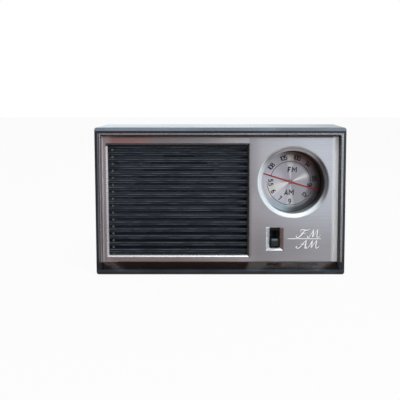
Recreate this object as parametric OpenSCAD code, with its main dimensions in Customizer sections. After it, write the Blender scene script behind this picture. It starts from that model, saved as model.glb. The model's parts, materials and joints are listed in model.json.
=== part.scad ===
// Portable table radio for AM and FM, with a round tuning dial and a louvred loudspeaker grille.
// Sizes are millimetres. The front faces -Y, +X is to the viewer's right and +Z is up.
// The front leans back, and its parts are placed in a face frame: u to the right, v up the
// leaning front from its bottom edge, and w out of the front towards the viewer.

/* [Cabinet] */
// Angle by which the front leans back, in degrees
lean = 7; // [4:0.5:10]
// Depth from the front's top edge to the rearmost face
top_depth = 56; // [54:1:80]
// Thickness of the moulded walls
wall = 2.2; // [1.8:0.1:2.6]
// Radius of the cabinet's long edges
corner_r = 1.8; // [1.5:0.1:3]
// Width of the rim beside the face plate
rim_side = 2.7; // [2.2:0.1:3.2]
// Width of the rim above the face plate
rim_top = 4.1; // [3.2:0.1:5]
// Width of the rim below the sill
rim_bottom = 2.6; // [2:0.1:3.2]
// Depth of the face plate behind the rim
recess_depth = 8; // [6:0.1:9]
// Rise of the sloping sill from the rim to the face plate
sill_rise = 6.1; // [5:0.1:7]
// Depth of the step that holds the stowed whip antenna
step_depth = 8; // [7.6:0.1:9]
// Height of that step
step_h = 8.4; // [8.2:0.1:10]

/* [Face] */
// Width of the bright trim round the recess
trim_w = 1.4; // [1:0.1:2]
// Depth of the trim strip
trim_t = 1.5; // [1:0.1:2.5]
// Thickness of the aluminium face plate
plate_t = 0.8; // [0.6:0.1:1.2]
// Thickness of the moulded panel behind the face plate
panel_t = 2; // [1.6:0.1:2.4]
// Gap between the recess's left wall and the grille opening
grille_margin = 2.8; // [2.4:0.1:5]
// Gap between the sill and the grille opening
grille_lift = 3.7; // [3:0.1:4.5]
// Gap between the recess's top and the grille opening
grille_drop = 5.3; // [4.5:0.1:8]
// How much wider the grille opening is than the battery box behind it
grille_over = 5.3; // [5.3:0.1:12]
// Width of the bevel round the grille opening
bevel_w = 1.2; // [0.8:0.1:1.6]
// Depth of that bevel
bevel_d = 3.6; // [3:0.1:4]

/* [Louvres] */
// Number of slats
slat_count = 16; // [12:1:18]
// Height of a slat's front
slat_h = 3.6; // [2.6:0.1:4.2]
// Depth of a slat
slat_d = 3.6; // [2.6:0.1:4]
// Depth of the frame that holds the slats
louvre_frame_t = 4; // [3.7:0.1:5]
// Thickness of the baffle board behind the slats
baffle_t = 2; // [1.5:0.1:3]

/* [Dial] */
// Gap between the louvre frame and the dial well's flange
dial_left_gap = 2.55; // [1.5:0.05:8]
// Gap between the dial well's flange and the recess's right wall
dial_right_gap = 5.25; // [4.6:0.05:9]
// Gap between the dial well's flange and the recess's top
dial_top_gap = 5.65; // [5:0.05:9]
// Gap between the dial well's flange and the upper screw boss of the band switch
dial_switch_gap = 1.05; // [0.8:0.05:6]
// Outer radius of the dial's bright ring
ring_r = 27.2; // [26.8:0.1:27.6]
// Fall of the ring's sloping face below the face plate
ring_fall = 0.8; // [0.5:0.1:1.4]
// Radius of the well inside the ring
well_r = 24.3; // [23.8:0.1:24.6]
// Depth of the dial disc behind the face plate
disc_depth = 22; // [20:0.1:22.4]
// Thickness of the dial disc
disc_t = 0.8; // [0.6:0.1:1]
// Wall of the dial well
well_wall = 1.7; // [1.4:0.1:2]
// Width of the pointer's needle
needle_w = 1.2; // [0.6:0.1:1.4]
// Angle at which the pointer stands at rest, in degrees above the right-hand side
pointer_rest = -17.2; // [-18:0.1:-10]

/* [Band switch] */
// Distance of the switch's centre from the recess's right wall
switch_side = 48.7; // [47:0.1:50]
// Height of the switch's centre above the sill
switch_lift = 17.5; // [16.5:0.1:18]
// Width of the switch's bevelled surround
switch_w = 13.9; // [13:0.1:15]
// Height of that surround
switch_h = 18.6; // [18:0.1:19.2]
// Depth of the surround's bevel
switch_d = 5; // [4.6:0.1:5.4]
// Fall of the surround's sloping faces below the face plate
bezel_fall = 1.6; // [1:0.1:2.4]
// Width of the sliding button
button_w = 7.4; // [6.6:0.1:7.8]
// Height of the sliding button
button_h = 7.2; // [6.6:0.1:7.6]
// Travel of the sliding button
switch_travel = 5.8; // [4.6:0.1:6]

/* [Tuning drive] */
// Radius of the drum under the cord
drum_r = 16; // [15:0.1:16.4]
// Radius of the tuning spindle under the cord
spindle_r = 3; // [2.6:0.1:3.4]
// Radius of the idler pulley under the cord
idler_r = 4.3; // [4:0.1:5]
// Radius of the dial cord
cord_r = 0.4; // [0.3:0.05:0.45]
// Distance of the tuning spindle above the dial's centre
spindle_up = 24.65; // [24:0.05:25.4]
// Distance of the idler pulley below the dial's centre
idler_down = 24; // [23.5:0.1:25]
// Turns of cord round the spindle, always a half more than a whole number
spindle_turns = 2.5; // [1.5:1:3.5]
// Radius of the control shafts
shaft_r = 2; // [1.8:0.05:2.2]
// Radial play between a turning shaft and its hole
run_gap = 0.05; // [0.03:0.01:0.08]
// Gap kept between moving pieces that don't touch
clear = 0.3; // [0.25:0.05:0.4]
// Side of the tuning capacitor's square case
cap_side = 20; // [18:0.5:21]
// Thickness of the tuning capacitor's case
cap_t = 12; // [10:0.5:14]

/* [Side knobs] */
// How far the side knobs stand out of the cabinet
knob_proud = 5; // [4:0.1:6]
// Radius of the tuning knob
tuning_knob_r = 11; // [9:0.1:12]
// Radius of the volume knob
volume_knob_r = 9; // [8:0.1:11]
// Height of the volume control's centre above the cabinet's underside
volume_up = 27; // [25:0.5:28]
// Distance of the volume control's centre from the front's bottom edge
volume_back = 50; // [47:0.5:52]
// Radius of the volume control's case
volume_case_r = 8; // [7:0.1:8.4]

/* [Loudspeaker] */
// Outer radius of the loudspeaker's frame
speaker_r = 44.5; // [42:0.1:45]
// Inner radius of the frame's flat rim
cone_r = 36.5; // [34:0.1:37]
// Depth of the basket behind the baffle
basket_depth = 17.4; // [15:0.1:19]
// Radius of the magnet
magnet_r = 16; // [13:0.1:17]
// Depth of the magnet
magnet_t = 11; // [9:0.1:13]

/* [Battery] */
// Radius of one cell
cell_r = 7.1; // [6.9:0.05:7.2]
// Length of one cell
cell_l = 50; // [49:0.1:50.4]
// Gap between the two rows of cells
cell_gap = 0.6; // [0.4:0.1:1.2]
// Wall of the battery box
box_wall = 1; // [0.8:0.1:1.4]
// Radius of the battery door's hinge pins
door_pin_r = 0.8; // [0.7:0.05:0.9]

/* [Whip antenna] */
// Outer radius of the largest tube
whip_r = 3; // [2.8:0.1:3.2]
// Length of the largest tube
whip_l = 142; // [120:1:146]
// Wall of the tubes
whip_wall = 0.55; // [0.45:0.05:0.6]
// Distance of the swivel from the cabinet's right side
whip_side = 11; // [9:0.5:15]
// Radius of the swivel pin
whip_pin_r = 1.5; // [1.3:0.05:1.7]

/* [Feet and screws] */
// Height by which the feet stand out of the underside
foot_h = 1.2; // [0.8:0.1:2]
// Radius of a foot
foot_r = 5; // [4:0.1:6]
// Radius of the screws' shafts
screw_r = 1.35; // [1.2:0.05:1.5]
// Radius of the screws' heads
screw_head_r = 2.6; // [2.4:0.1:2.8]
// Height of the screws' heads
head_t = 1.5; // [1:0.1:1.8]

/* [Hidden] */
$fn = 64;
eps = 0.01;

// Colours
black_gloss = [0.05, 0.055, 0.07];
black_matt = [0.09, 0.09, 0.1];
bright_metal = [0.78, 0.79, 0.81];
brushed_metal = [0.66, 0.66, 0.69];
steel = [0.55, 0.56, 0.58];
board_brown = [0.5, 0.33, 0.17];

// Grille opening and louvre frame
box_len = 2 * cell_l + 5;
grille_w = box_len + grille_over;
frame_lip = 2.1;
frame_rise = 1.9;

// Main sizes of the recess, from what stands beside and above each other in it
post_r = 2.2;
switch_ear = switch_h / 2 + post_r;
well_flange_r = ring_r + 2.2;
recess_w = grille_margin + grille_w + frame_lip + dial_left_gap + 2 * well_flange_r + dial_right_gap;
recess_h = switch_lift + switch_ear + post_r + dial_switch_gap + 2 * well_flange_r + dial_top_gap;
recess_x = recess_w / 2;
recess_step = 0.8;
sill_v = rim_bottom + sill_rise;
recess_top = sill_v + recess_h;
trim_top = recess_top + recess_step + trim_w;
face_h = trim_top + rim_top;
cab_w = recess_w + 2 * (trim_w + rim_side);

// Main places of the cabinet
cab_h = face_h * cos(lean);
front_top_y = face_h * sin(lean);
depth = front_top_y + top_depth;
shell_y = depth - step_depth;
cab_mid_x = -knob_proud / 2;
cab_front_y = -depth / 2;
side_x = cab_w / 2;
inner_x = side_x - wall;

// Places on the face, in the face frame
trim_foot_v = sill_v + 0.7;
plate_w = -recess_depth;
panel_front = plate_w - plate_t;
panel_back = panel_front - panel_t;
plate_gap = 0.1;
trim_gap = 0.05;

// Grille opening, from its outer edges
grille_u0 = -recess_x + grille_margin;
grille_u1 = grille_u0 + grille_w;
grille_v0 = sill_v + grille_lift;
grille_v1 = recess_top - grille_drop;
grille_h = grille_v1 - grille_v0;
bevel_back = plate_w - bevel_d;
bevel_skin = 0.5;
window_gap = 0.3;

// Louvre panel and baffle behind the panel
frame_back = bevel_back - louvre_frame_t;
frame_u0 = grille_u0 - frame_lip;
frame_u1 = grille_u1 + frame_lip;
frame_v0 = grille_v0 - frame_rise;
frame_v1 = grille_v1 + frame_rise;
slat_front = bevel_back + 0.7;
slat_back = slat_front - slat_d;
slat_chamfer = 0.5;
slat_slope = 1.4;
slat_lead = 1.2;
slat_tail = 2.8;
slat_start = grille_v0 + bevel_w + slat_lead;
slat_pitch = (grille_h - 2 * bevel_w - slat_lead - slat_tail) / (slat_count - 1);
baffle_back = frame_back - baffle_t;
baffle_v0 = 4.7;
baffle_v1 = face_h - 3.8;
baffle_boss_r = 3;
baffle_bosses = [
    for (u = [frame_u0 + 10, frame_u1 - 10]) for (v = [baffle_v0 + 2.7, baffle_v1 - 2.7]) [u, v]
];

// Loudspeaker
speaker_u = (grille_u0 + grille_u1) / 2;
speaker_v = (grille_v0 + grille_v1) / 2;
rim_t = 1.2;
basket_front = baffle_back - rim_t;
basket_back = baffle_back - basket_depth;
speaker_screw_r = (speaker_r + cone_r) / 2 + 0.8;

// Dial
dial_u = recess_x - dial_right_gap - well_flange_r;
dial_v = recess_top - dial_top_gap - well_flange_r;
ring_tube_r = ring_r - 0.8;
ring_back = bevel_back - 0.6;
disc_front = plate_w - disc_depth;
disc_back = disc_front - disc_t;
well_out_r = well_r + well_wall;
well_back = disc_back - 1;
needle_front = disc_front + 1.6;
needle_t = 0.5;
needle_l = well_r - 0.6;
pointer_hub_r = 1.9;
arbor_r = 1.25;
drum_shaft_r = 3;

// Cord planes and tuning drive
cord_gap = 0.3;
cord_seat = cord_r + cord_gap;
drum_front = well_back - clear;
drum_t = 4.2;
drum_back = drum_front - drum_t;
cord_high = drum_front - 1.6;
cord_low = cord_high - 1;
drum_cord_r = drum_r + cord_seat;
drum_hole_r = 3;
drum_hole_place = (drum_shaft_r + drum_r) / 2;
spindle_cord_r = spindle_r + cord_seat;
idler_cord_r = idler_r + cord_seat;
spindle_v = dial_v + spindle_up;
spindle_w = cord_high - spindle_cord_r;
cord_u = dial_u + drum_cord_r;
idler_u = cord_u + idler_cord_r;
idler_v = dial_v - idler_down;
cord_turn_step = 1.6;
groove_half = 0.7;
drum_wheel_r = drum_r + 1.8;
idler_wheel_r = idler_r + 2;
idler_pin_r = 1.5;
spindle_y = face_y(spindle_v, spindle_w);
spindle_z = face_z(spindle_v, spindle_w);

// Circuit board, drive bracket and their posts
board_front = drum_back - 1.6;
board_t = 1.6;
board_back = board_front - board_t;
board_u0 = dial_u - 32;
board_u1 = dial_u + 10.8;
board_v0 = 12;
board_v1 = 98;
board_post_place = 24;
board_post_angles = [100, 180, 260];
board_posts = [
    for (a = board_post_angles) [dial_u + board_post_place * cos(a), dial_v + board_post_place * sin(a)]
];
board_screw_r = screw_r - 0.2;
bracket_t = 1.2;
bracket_front = spindle_w - spindle_cord_r - 4;
bracket_back = bracket_front - bracket_t;
bracket_u0 = board_u1 + 0.5;
bracket_u1 = inner_x - 1.3;
bracket_v0 = idler_v - 3.4;
bracket_v1 = spindle_v + 5;
ear_w = bracket_front + 12;
bracket_posts = [for (v = [dial_v - 12, dial_v + 10]) [inner_x - 4.3, v]];
cap_back = board_back - cap_t;

// Small parts on the board, and their places from its low left corner
can_side = 10;
can_t = 12;
can_core_r = 2.5;
can_u = 7;
transistor_r = 2.4;
transistor_t = 5;
capacitor_r = 4.4;
capacitor_t = 16;
output_size = [18, 14, 13];
output_place = [11, 12];
driver_size = [16, 12, 12];
driver_place = [32, 9];
can_places = [36, 49, 68, 80];
transistor_places = [[17, 80], [17, 72], [36, 80], [36, 72.5], [17, 38], [17, 30]];
capacitor_places = [[27, 42.5], [37, 43], [37, 33]];

// Band switch
switch_u = recess_x - switch_side;
switch_v = sill_v + switch_lift;
surround_back = plate_w - switch_d;
throat_w = button_w + 2 * clear;
throat_h = button_h + switch_travel + 2 * clear;
button_front = plate_w - 0.6;
button_slope = 1;
button_slope_t = 1.8;
button_rest_v = switch_v - switch_travel / 2;
switch_plate_w = surround_back - 2.4;
switch_plate_t = 0.8;
switch_can_back = switch_plate_w - switch_plate_t - 6;
stem_w = 3;

// Battery box, set on the floor behind the loudspeaker
cell_pitch = 2 * cell_r + cell_gap;
box_x0 = grille_u0 + 1.6;
box_x1 = box_x0 + box_len;
box_z0 = wall + 0.3;
box_h = 2 * cell_r + 2 * box_wall + 0.6;
box_y1 = depth - wall - 0.3;
box_y0 = box_y1 - 2 * cell_r - cell_pitch - box_wall - 1;
cell_z = box_z0 + box_wall + cell_r + 0.1;
cell_y1 = box_y1 - cell_r - 0.6;
cell_ys = [cell_y1 - cell_pitch, cell_y1];
door_gap = 0.3;
door_x0 = box_x0 + 1.7;
door_x1 = box_x1 - 1.7;
door_z0 = box_z0 + 2.4;
door_z1 = box_z0 + box_h + 0.6;
door_t = 2;
door_axis_y = depth - door_t / 2 - 0.1;
door_axis_z = door_z0 + door_t / 2 + 0.1;

// Rear cover and its screws
cover_top = cab_h - step_h;
web_y = shell_y - wall;
web_gap = 0.1;
web_x = inner_x - web_gap;
rear_boss_r = 3;
rear_boss_x = inner_x - 2.4;
rear_screw_zs = [9, cover_top - 5.4];
boss_front_y = face_y(baffle_v1, baffle_back) + 0.5;
far_ear_u = rear_boss_x - rear_boss_r - 0.4 - bracket_t;
vent_count = 12;
vent_pitch = 6;
vent_w = 2.4;
vent_h = 34;
vent_x0 = speaker_u - (vent_count - 1) / 2 * vent_pitch - vent_w / 2;
vent_z0 = cab_h / 2 - vent_h / 2 + 4;

// Whip antenna
whip_pivot = side_x - whip_side;
whip_y = shell_y + 3.7;
whip_drop = 4.3;
whip_z = cab_h - whip_drop;
pin_seat_r = whip_drop - wall - 0.1;
swivel_r = 3.8;
swivel_len = 8;
whip_start = whip_pivot - swivel_len;
whip_end = whip_start - whip_l;
middle_r = whip_r - whip_wall - run_gap;
tip_r = middle_r - whip_wall - run_gap;

// Ferrite rod under the top
rod_r = 4.5;
rod_l = 110;
coil_t = 1.4;
coil_place = 15;
coil_l = 32;
holder_places = [5, 98];
holder_w = 5;
holder_rim = 1.5;
rod_x = grille_u0 + 20.1;
rod_behind = 28.4;
rod_drop = 7.6;
rod_y = front_top_y + rod_behind;
rod_z = cab_h - wall - rod_drop;

// Places of the feet and of the earphone jack
foot_sink = 0.8;
foot_x = side_x - 15;
foot_ys = [12, depth - 13];
jack_y = 50;
jack_z = 40;
jack_bore_r = 1.8;

function face_y(v, w) = v * sin(lean) - w * cos(lean);
function face_z(v, w) = v * cos(lean) + w * sin(lean);

module in_cabinet() {
    translate([cab_mid_x, cab_front_y, foot_h]) children();
}

module on_face() {
    in_cabinet() rotate([90 - lean, 0, 0]) children();
}

// A box between two opposite corners
module slab(low, high) {
    translate(low) cube(high - low);
}

// A round bar along X, Y or the face frame's w
module bar_x(x0, x1, r) {
    translate([x0, 0, 0]) rotate([0, 90, 0]) cylinder(h = x1 - x0, r = r);
}

module bar_y(y0, y1, r) {
    translate([0, y1, 0]) rotate([90, 0, 0]) cylinder(h = y1 - y0, r = r);
}

module bar_w(w0, w1, r) {
    translate([0, 0, w0]) cylinder(h = w1 - w0, r = r);
}

// A rectangle that narrows from the front to the back
module funnel(size, back_size, front_w, back_w) {
    hull() {
        translate([0, 0, front_w]) linear_extrude(eps) square(size, center = true);
        translate([0, 0, back_w - eps]) linear_extrude(eps) square(back_size, center = true);
    }
}

// A bar with rounded long edges, from y0 to y1, x centred, z from z0 to z1
module rounded_bar(width, z0, z1, y0, y1, r) {
    inner = [width - 2 * r, z1 - z0 - 2 * r];
    translate([0, y1, (z0 + z1) / 2]) rotate([90, 0, 0]) linear_extrude(y1 - y0) union() {
        square([width, inner[1]], center = true);
        square([inner[0], z1 - z0], center = true);
        for (x = [-1, 1]) for (y = [-1, 1])
            translate([x * inner[0] / 2, y * inner[1] / 2]) circle(r);
    }
}

// A side view, in y and z, carried across the width
module side_profile(width, points) {
    rotate([90, 0, 90]) linear_extrude(width, center = true) polygon(points);
}

module shell_outside() {
    intersection() {
        side_profile(cab_w, [[0, 0], [shell_y, 0], [shell_y, cab_h], [front_top_y, cab_h]]);
        rounded_bar(cab_w, 0, cab_h, -1, shell_y + 1, corner_r);
    }
}

module shell_inside() {
    back_low = wall * tan(lean) - panel_back / cos(lean);
    back_high = (cab_h - wall) * tan(lean) - panel_back / cos(lean);
    intersection() {
        side_profile(cab_w, [
            [back_low, wall], [shell_y + 1, wall], [shell_y + 1, cab_h - wall],
            [back_high, cab_h - wall]
        ]);
        rounded_bar(2 * inner_x, wall, cab_h - wall, 0, shell_y + 1, corner_r - wall / 2);
    }
}

module front_recess() {
    slab([-recess_x, sill_v, panel_front], [recess_x, recess_top, 1]);
    slab([-recess_x - trim_w, trim_foot_v, -trim_t], [recess_x + trim_w, trim_top, 1]);
    translate([-recess_x, 0, 0]) rotate([90, 0, 90]) linear_extrude(2 * recess_x)
        polygon([
            [rim_bottom, 0], [sill_v, -recess_depth], [sill_v + 1, -recess_depth], [sill_v + 1, 1],
            [rim_bottom, 1]
        ]);
}

module front_windows() {
    slab(
        [grille_u0 - bevel_skin - window_gap, grille_v0 - bevel_skin - window_gap, panel_back - 1],
        [grille_u1 + bevel_skin + window_gap, grille_v1 + bevel_skin + window_gap, panel_front + 1]
    );
    translate([dial_u, dial_v, 0]) bar_w(panel_back - 1, panel_front + 1, ring_tube_r + 0.2);
    slab(
        [switch_u - switch_w / 2 + 0.2, switch_v - switch_h / 2 + 0.2, panel_back - 1],
        [switch_u + switch_w / 2 - 0.2, switch_v + switch_h / 2 - 0.2, panel_front + 1]
    );
}

module cabinet() {
    color(black_gloss) {
        difference() {
            union() {
                difference() {
                    in_cabinet() shell_outside();
                    in_cabinet() shell_inside();
                }
                on_face() {
                    for (p = baffle_bosses)
                        translate([p[0], p[1], 0]) bar_w(frame_back, panel_back + 0.5, baffle_boss_r);
                    for (v = [-1, 1])
                        translate([switch_u, switch_v + v * switch_ear, 0])
                            bar_w(switch_plate_w, panel_back + 0.5, post_r);
                    for (p = bracket_posts)
                        translate([p[0], p[1], 0]) bar_w(bracket_front, panel_back + 0.5, post_r + 0.4);
                }
                in_cabinet()
                    for (x = [-1, 1]) for (z = rear_screw_zs)
                        translate([x * rear_boss_x, 0, z]) bar_y(boss_front_y, shell_y, rear_boss_r);
            }
            on_face() {
                front_recess();
                front_windows();
                for (p = baffle_bosses)
                    translate([p[0], p[1], 0]) bar_w(frame_back - 1, panel_back + 0.6, screw_r + run_gap);
                for (v = [-1, 1])
                    translate([switch_u, switch_v + v * switch_ear, 0])
                        bar_w(switch_plate_w - 1, panel_back + 0.6, screw_r + run_gap - 0.3);
                for (p = bracket_posts)
                    translate([p[0], p[1], 0])
                        bar_w(bracket_front - 1, bracket_front + 8, screw_r + run_gap);
            }
            in_cabinet() {
                for (x = [-1, 1]) for (z = rear_screw_zs)
                    translate([x * rear_boss_x, 0, z]) bar_y(shell_y - 10, shell_y + 1, screw_r + run_gap);
                translate([0, spindle_y, spindle_z]) bar_x(inner_x - 1, side_x + 1, shaft_r + 0.6);
                translate([0, volume_back, volume_up]) bar_x(inner_x - 1, side_x + 1, shaft_r + 1.5);
                translate([0, jack_y, jack_z]) bar_x(-side_x - 1, -inner_x + 1, jack_bore_r + 1.3);
                for (x = [-1, 1]) for (y = foot_ys)
                    translate([x * foot_x, y, -1]) cylinder(h = 1 + foot_sink, r = foot_r);
            }
        }
    }
}

module face_plate() {
    color(brushed_metal) on_face() {
        inner = [grille_w - 2 * bevel_w, grille_h - 2 * bevel_w];
        middle = [(grille_u0 + grille_u1) / 2, (grille_v0 + grille_v1) / 2, 0];
        difference() {
            slab(
                [-recess_x + plate_gap, sill_v + plate_gap, panel_front],
                [recess_x - plate_gap, recess_top - plate_gap, plate_w]
            );
            slab([grille_u0, grille_v0, panel_front - 1], [grille_u1, grille_v1, plate_w + 1]);
            translate([dial_u, dial_v, 0]) bar_w(panel_front - 1, plate_w + 1, ring_tube_r + 0.1);
            slab(
                [switch_u - switch_w / 2 + plate_gap, switch_v - switch_h / 2 + plate_gap, panel_front - 1],
                [switch_u + switch_w / 2 - plate_gap, switch_v + switch_h / 2 - plate_gap, plate_w + 1]
            );
        }
        difference() {
            slab(
                [grille_u0 - bevel_skin, grille_v0 - bevel_skin, bevel_back],
                [grille_u1 + bevel_skin, grille_v1 + bevel_skin, plate_w - plate_t / 2]
            );
            translate(middle) funnel([grille_w, grille_h], inner, plate_w, bevel_back);
            slab(
                [grille_u0 + bevel_w, grille_v0 + bevel_w, bevel_back - 1],
                [grille_u1 - bevel_w, grille_v1 - bevel_w, bevel_back + 1]
            );
        }
    }
}

module plate_trim() {
    outer_u = recess_x + trim_w - trim_gap;
    color(bright_metal) on_face() difference() {
        slab([-outer_u, trim_foot_v + trim_gap, -trim_t], [outer_u, trim_top - trim_gap, 0]);
        slab([-recess_x, 0, -trim_t - 1], [recess_x, trim_top - trim_w, 1]);
    }
}

module grille_louvres() {
    inner_u = [grille_u0 + bevel_w + 0.1, grille_u1 - bevel_w - 0.1];
    inner_v = [grille_v0 + bevel_w, grille_v1 - bevel_w];
    color(black_matt) on_face() {
        difference() {
            slab([frame_u0, frame_v0, frame_back], [frame_u1, frame_v1, bevel_back]);
            slab([inner_u[0], inner_v[0], frame_back - 1], [inner_u[1], inner_v[1], bevel_back + 1]);
        }
        intersection() {
            slab([inner_u[0], inner_v[0] + 0.1, frame_back], [inner_u[1], inner_v[1] - 0.1, slat_front]);
            for (i = [0:slat_count - 1])
                translate([inner_u[0] - 1, slat_start + i * slat_pitch, 0])
                    rotate([90, 0, 90]) linear_extrude(inner_u[1] - inner_u[0] + 2)
                        polygon([
                            [0, slat_front], [slat_h - slat_chamfer, slat_front],
                            [slat_h, slat_front - slat_chamfer],
                            [slat_h + slat_slope, slat_back], [slat_slope, slat_back]
                        ]);
        }
    }
}

module baffle_board() {
    color(black_matt) on_face() difference() {
        slab([frame_u0, baffle_v0, baffle_back], [frame_u1, baffle_v1, frame_back]);
        translate([speaker_u, speaker_v, 0]) bar_w(baffle_back - 1, frame_back + 1, cone_r);
        for (p = baffle_bosses)
            translate([p[0], p[1], 0]) bar_w(baffle_back - 1, frame_back + 1, screw_r + run_gap);
        speaker_screw_places() bar_w(baffle_back - 1, frame_back + 1, screw_r - 0.15);
    }
}

module speaker_screw_places() {
    translate([speaker_u, speaker_v, 0])
        for (a = [45:90:315]) rotate([0, 0, a]) translate([speaker_screw_r, 0, 0]) children();
}

// A round-headed screw along w, its head behind the seat
module screw(seat, length, r, head_r) {
    bar_w(seat - eps, seat + length, r);
    rotate_extrude() polygon([
        [0, seat], [head_r, seat], [head_r, seat - head_t / 2], [head_r * 0.6, seat - head_t],
        [0, seat - head_t]
    ]);
}

module baffle_screws() {
    color(steel) on_face()
        for (p = baffle_bosses)
            translate([p[0], p[1], 0]) screw(baffle_back, baffle_t + 4, screw_r, screw_head_r);
}

module speaker_screws() {
    color(steel) on_face()
        speaker_screw_places() screw(basket_front, rim_t + baffle_t, screw_r - 0.2, screw_head_r - 0.4);
}

module speaker_frame() {
    color(steel) on_face() difference() {
        translate([speaker_u, speaker_v, 0]) rotate_extrude($fn = 96) polygon([
            [cone_r, baffle_back], [speaker_r, baffle_back], [speaker_r, basket_front],
            [cone_r + 1.7, basket_front], [magnet_r + 1.6, basket_back],
            [9, basket_back], [9, basket_back + 1], [magnet_r + 0.8, basket_back + 1],
            [cone_r, basket_front - 0.4]
        ]);
        translate([speaker_u, speaker_v, 0])
            for (a = [0:60:300]) rotate([0, 0, a])
                slab([magnet_r + 4, -6, basket_back - 1], [cone_r - 4, 6, basket_front - 1]);
        speaker_screw_places() bar_w(basket_front - 1, baffle_back + 1, screw_r - 0.15);
    }
}

module speaker_cone() {
    neck = basket_back + 3;
    color([0.12, 0.11, 0.1]) on_face() translate([speaker_u, speaker_v, 0])
        rotate_extrude($fn = 96) polygon([
            [0, neck + 3.4], [4.5, neck + 2.9], [8.6, neck + 1.2], [cone_r, baffle_back - 0.1],
            [cone_r, baffle_back - 0.8], [9, neck], [8.2, neck], [4.3, neck + 2.2], [0, neck + 2.8]
        ]);
}

module speaker_magnet() {
    color(steel) on_face() translate([speaker_u, speaker_v, 0])
        bar_w(basket_back - magnet_t, basket_back, magnet_r);
}

module dial_ring() {
    color(bright_metal) on_face() translate([dial_u, dial_v, 0]) rotate_extrude($fn = 128) polygon([
        [ring_r, plate_w], [ring_r - 0.1, plate_w + 0.4], [ring_r - 0.7, plate_w + 0.5],
        [well_r + 0.4, plate_w - ring_fall], [well_r, plate_w - ring_fall - 0.5],
        [well_r, ring_back], [well_r + 1, ring_back],
        [ring_tube_r, plate_w - 1.8], [ring_tube_r, plate_w]
    ]);
}

module dial_well() {
    flange_t = 1.2;
    color(black_matt) on_face() translate([dial_u, dial_v, 0]) {
        difference() {
            union() {
                rotate_extrude($fn = 128) polygon([
                    [well_r, ring_back], [ring_tube_r + 0.4, ring_back], [ring_tube_r + 0.4, panel_back],
                    [well_flange_r, panel_back], [well_flange_r, ring_back - flange_t],
                    [well_out_r, ring_back - flange_t], [well_out_r, well_back],
                    [well_out_r - 5, well_back], [well_out_r - 5, disc_back], [well_r, disc_back]
                ]);
                for (a = board_post_angles)
                    rotate([0, 0, a]) translate([board_post_place, 0, 0])
                        bar_w(board_front, disc_back - 0.2, post_r);
            }
            for (a = board_post_angles)
                rotate([0, 0, a]) translate([board_post_place, 0, 0])
                    bar_w(board_front - 1, board_front + 5, board_screw_r + run_gap);
        }
    }
}

module dial_disc() {
    color(bright_metal) on_face() translate([dial_u, dial_v, 0]) difference() {
        bar_w(disc_back, disc_front, well_r - 0.1);
        bar_w(disc_back - 1, disc_front + 1, arbor_r + clear);
    }
}

module pointer() {
    needle_back = needle_front - needle_t;
    color([0.78, 0.12, 0.14]) on_face()
        translate([dial_u, dial_v, 0]) rotate([0, 0, pointer_rest]) difference() {
            union() {
                slab([-needle_l, -needle_w / 2, needle_back], [needle_l, needle_w / 2, needle_front]);
                bar_w(disc_front + clear, needle_back + eps, pointer_hub_r);
            }
            bar_w(disc_front, needle_back, arbor_r);
        }
}

module tuning_shaft() {
    color(steel) on_face() translate([dial_u, dial_v, 0]) {
        bar_w(drum_front - eps, needle_front - needle_t, arbor_r);
        bar_w(board_back - 5, drum_front, drum_shaft_r);
    }
}

module dial_drum() {
    flank = groove_half + cord_gap;
    color([0.85, 0.83, 0.76]) on_face() translate([dial_u, dial_v, 0]) difference() {
        rotate_extrude($fn = 96) polygon([
            [drum_shaft_r, drum_back], [drum_wheel_r, drum_back], [drum_wheel_r, cord_low - flank],
            [drum_r, cord_low - flank + 0.3], [drum_r, cord_high + flank - 0.3],
            [drum_wheel_r, cord_high + flank], [drum_wheel_r, drum_front], [drum_shaft_r, drum_front]
        ]);
        for (a = [30:60:330])
            rotate([0, 0, a]) translate([drum_hole_place, 0, 0])
                bar_w(drum_back - 1, drum_front + 1, drum_hole_r);
    }
}

module tuning_capacitor() {
    color([0.8, 0.8, 0.78]) on_face() translate([dial_u, dial_v, 0]) difference() {
        slab([-cap_side / 2, -cap_side / 2, cap_back], [cap_side / 2, cap_side / 2, board_back]);
        bar_w(board_back - 6, board_back + 1, drum_shaft_r + run_gap);
    }
}

// The cord runs once round the drum, up to the spindle, round it, down to the idler and back.
drum_steps = 24;
turn_steps = 12;
spindle_steps = spindle_turns * turn_steps;
idler_steps = 6;
cord_path = concat(
    [for (i = [0:drum_steps]) let (a = i * 360 / drum_steps)
        [dial_u + drum_cord_r * cos(a), dial_v + drum_cord_r * sin(a),
            cord_low + (cord_high - cord_low) * i / drum_steps]],
    [for (i = [0:spindle_steps]) let (a = i * 360 / turn_steps)
        [cord_u + cord_turn_step * i / turn_steps, spindle_v + spindle_cord_r * sin(a),
            spindle_w + spindle_cord_r * cos(a)]],
    [for (i = [0:idler_steps]) let (a = -i * 180 / idler_steps)
        [idler_u + idler_cord_r * cos(a), idler_v + idler_cord_r * sin(a), cord_low]]
);
cord_sides = 8;
cord_count = len(cord_path);

function unit(v) = v / norm(v);
function cord_heading(i) =
    unit(cord_path[(i + 1) % cord_count] - cord_path[(i + cord_count - 1) % cord_count]);
// The ring's first direction stays square to the heading and turns little from ring to ring.
function cord_side_step(i, before) = let (t = cord_heading(i), s = before - (before * t) * t) unit(s);
function cord_side_list(i, list) =
    i == cord_count ? list : cord_side_list(i + 1, concat(list, [cord_side_step(i, list[i - 1])]));
cord_side = cord_side_list(1, [cord_side_step(0, [1, 0, 0])]);
// The turn left over when the loop closes is spread over the rings.
cord_last = cord_side_step(0, cord_side[cord_count - 1]);
cord_leftover = let (t = cord_heading(0), c = cross(cord_side[0], cord_last) * t)
    atan2(c, cord_side[0] * cord_last);
function cord_ring(i) = let (
    t = cord_heading(i), n = cord_side[i], b = cross(t, n), turn = -cord_leftover * i / cord_count
) [for (k = [0:cord_sides - 1]) let (a = k * 360 / cord_sides + turn)
    cord_path[i] + cord_r * (n * cos(a) + b * sin(a))];

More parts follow.
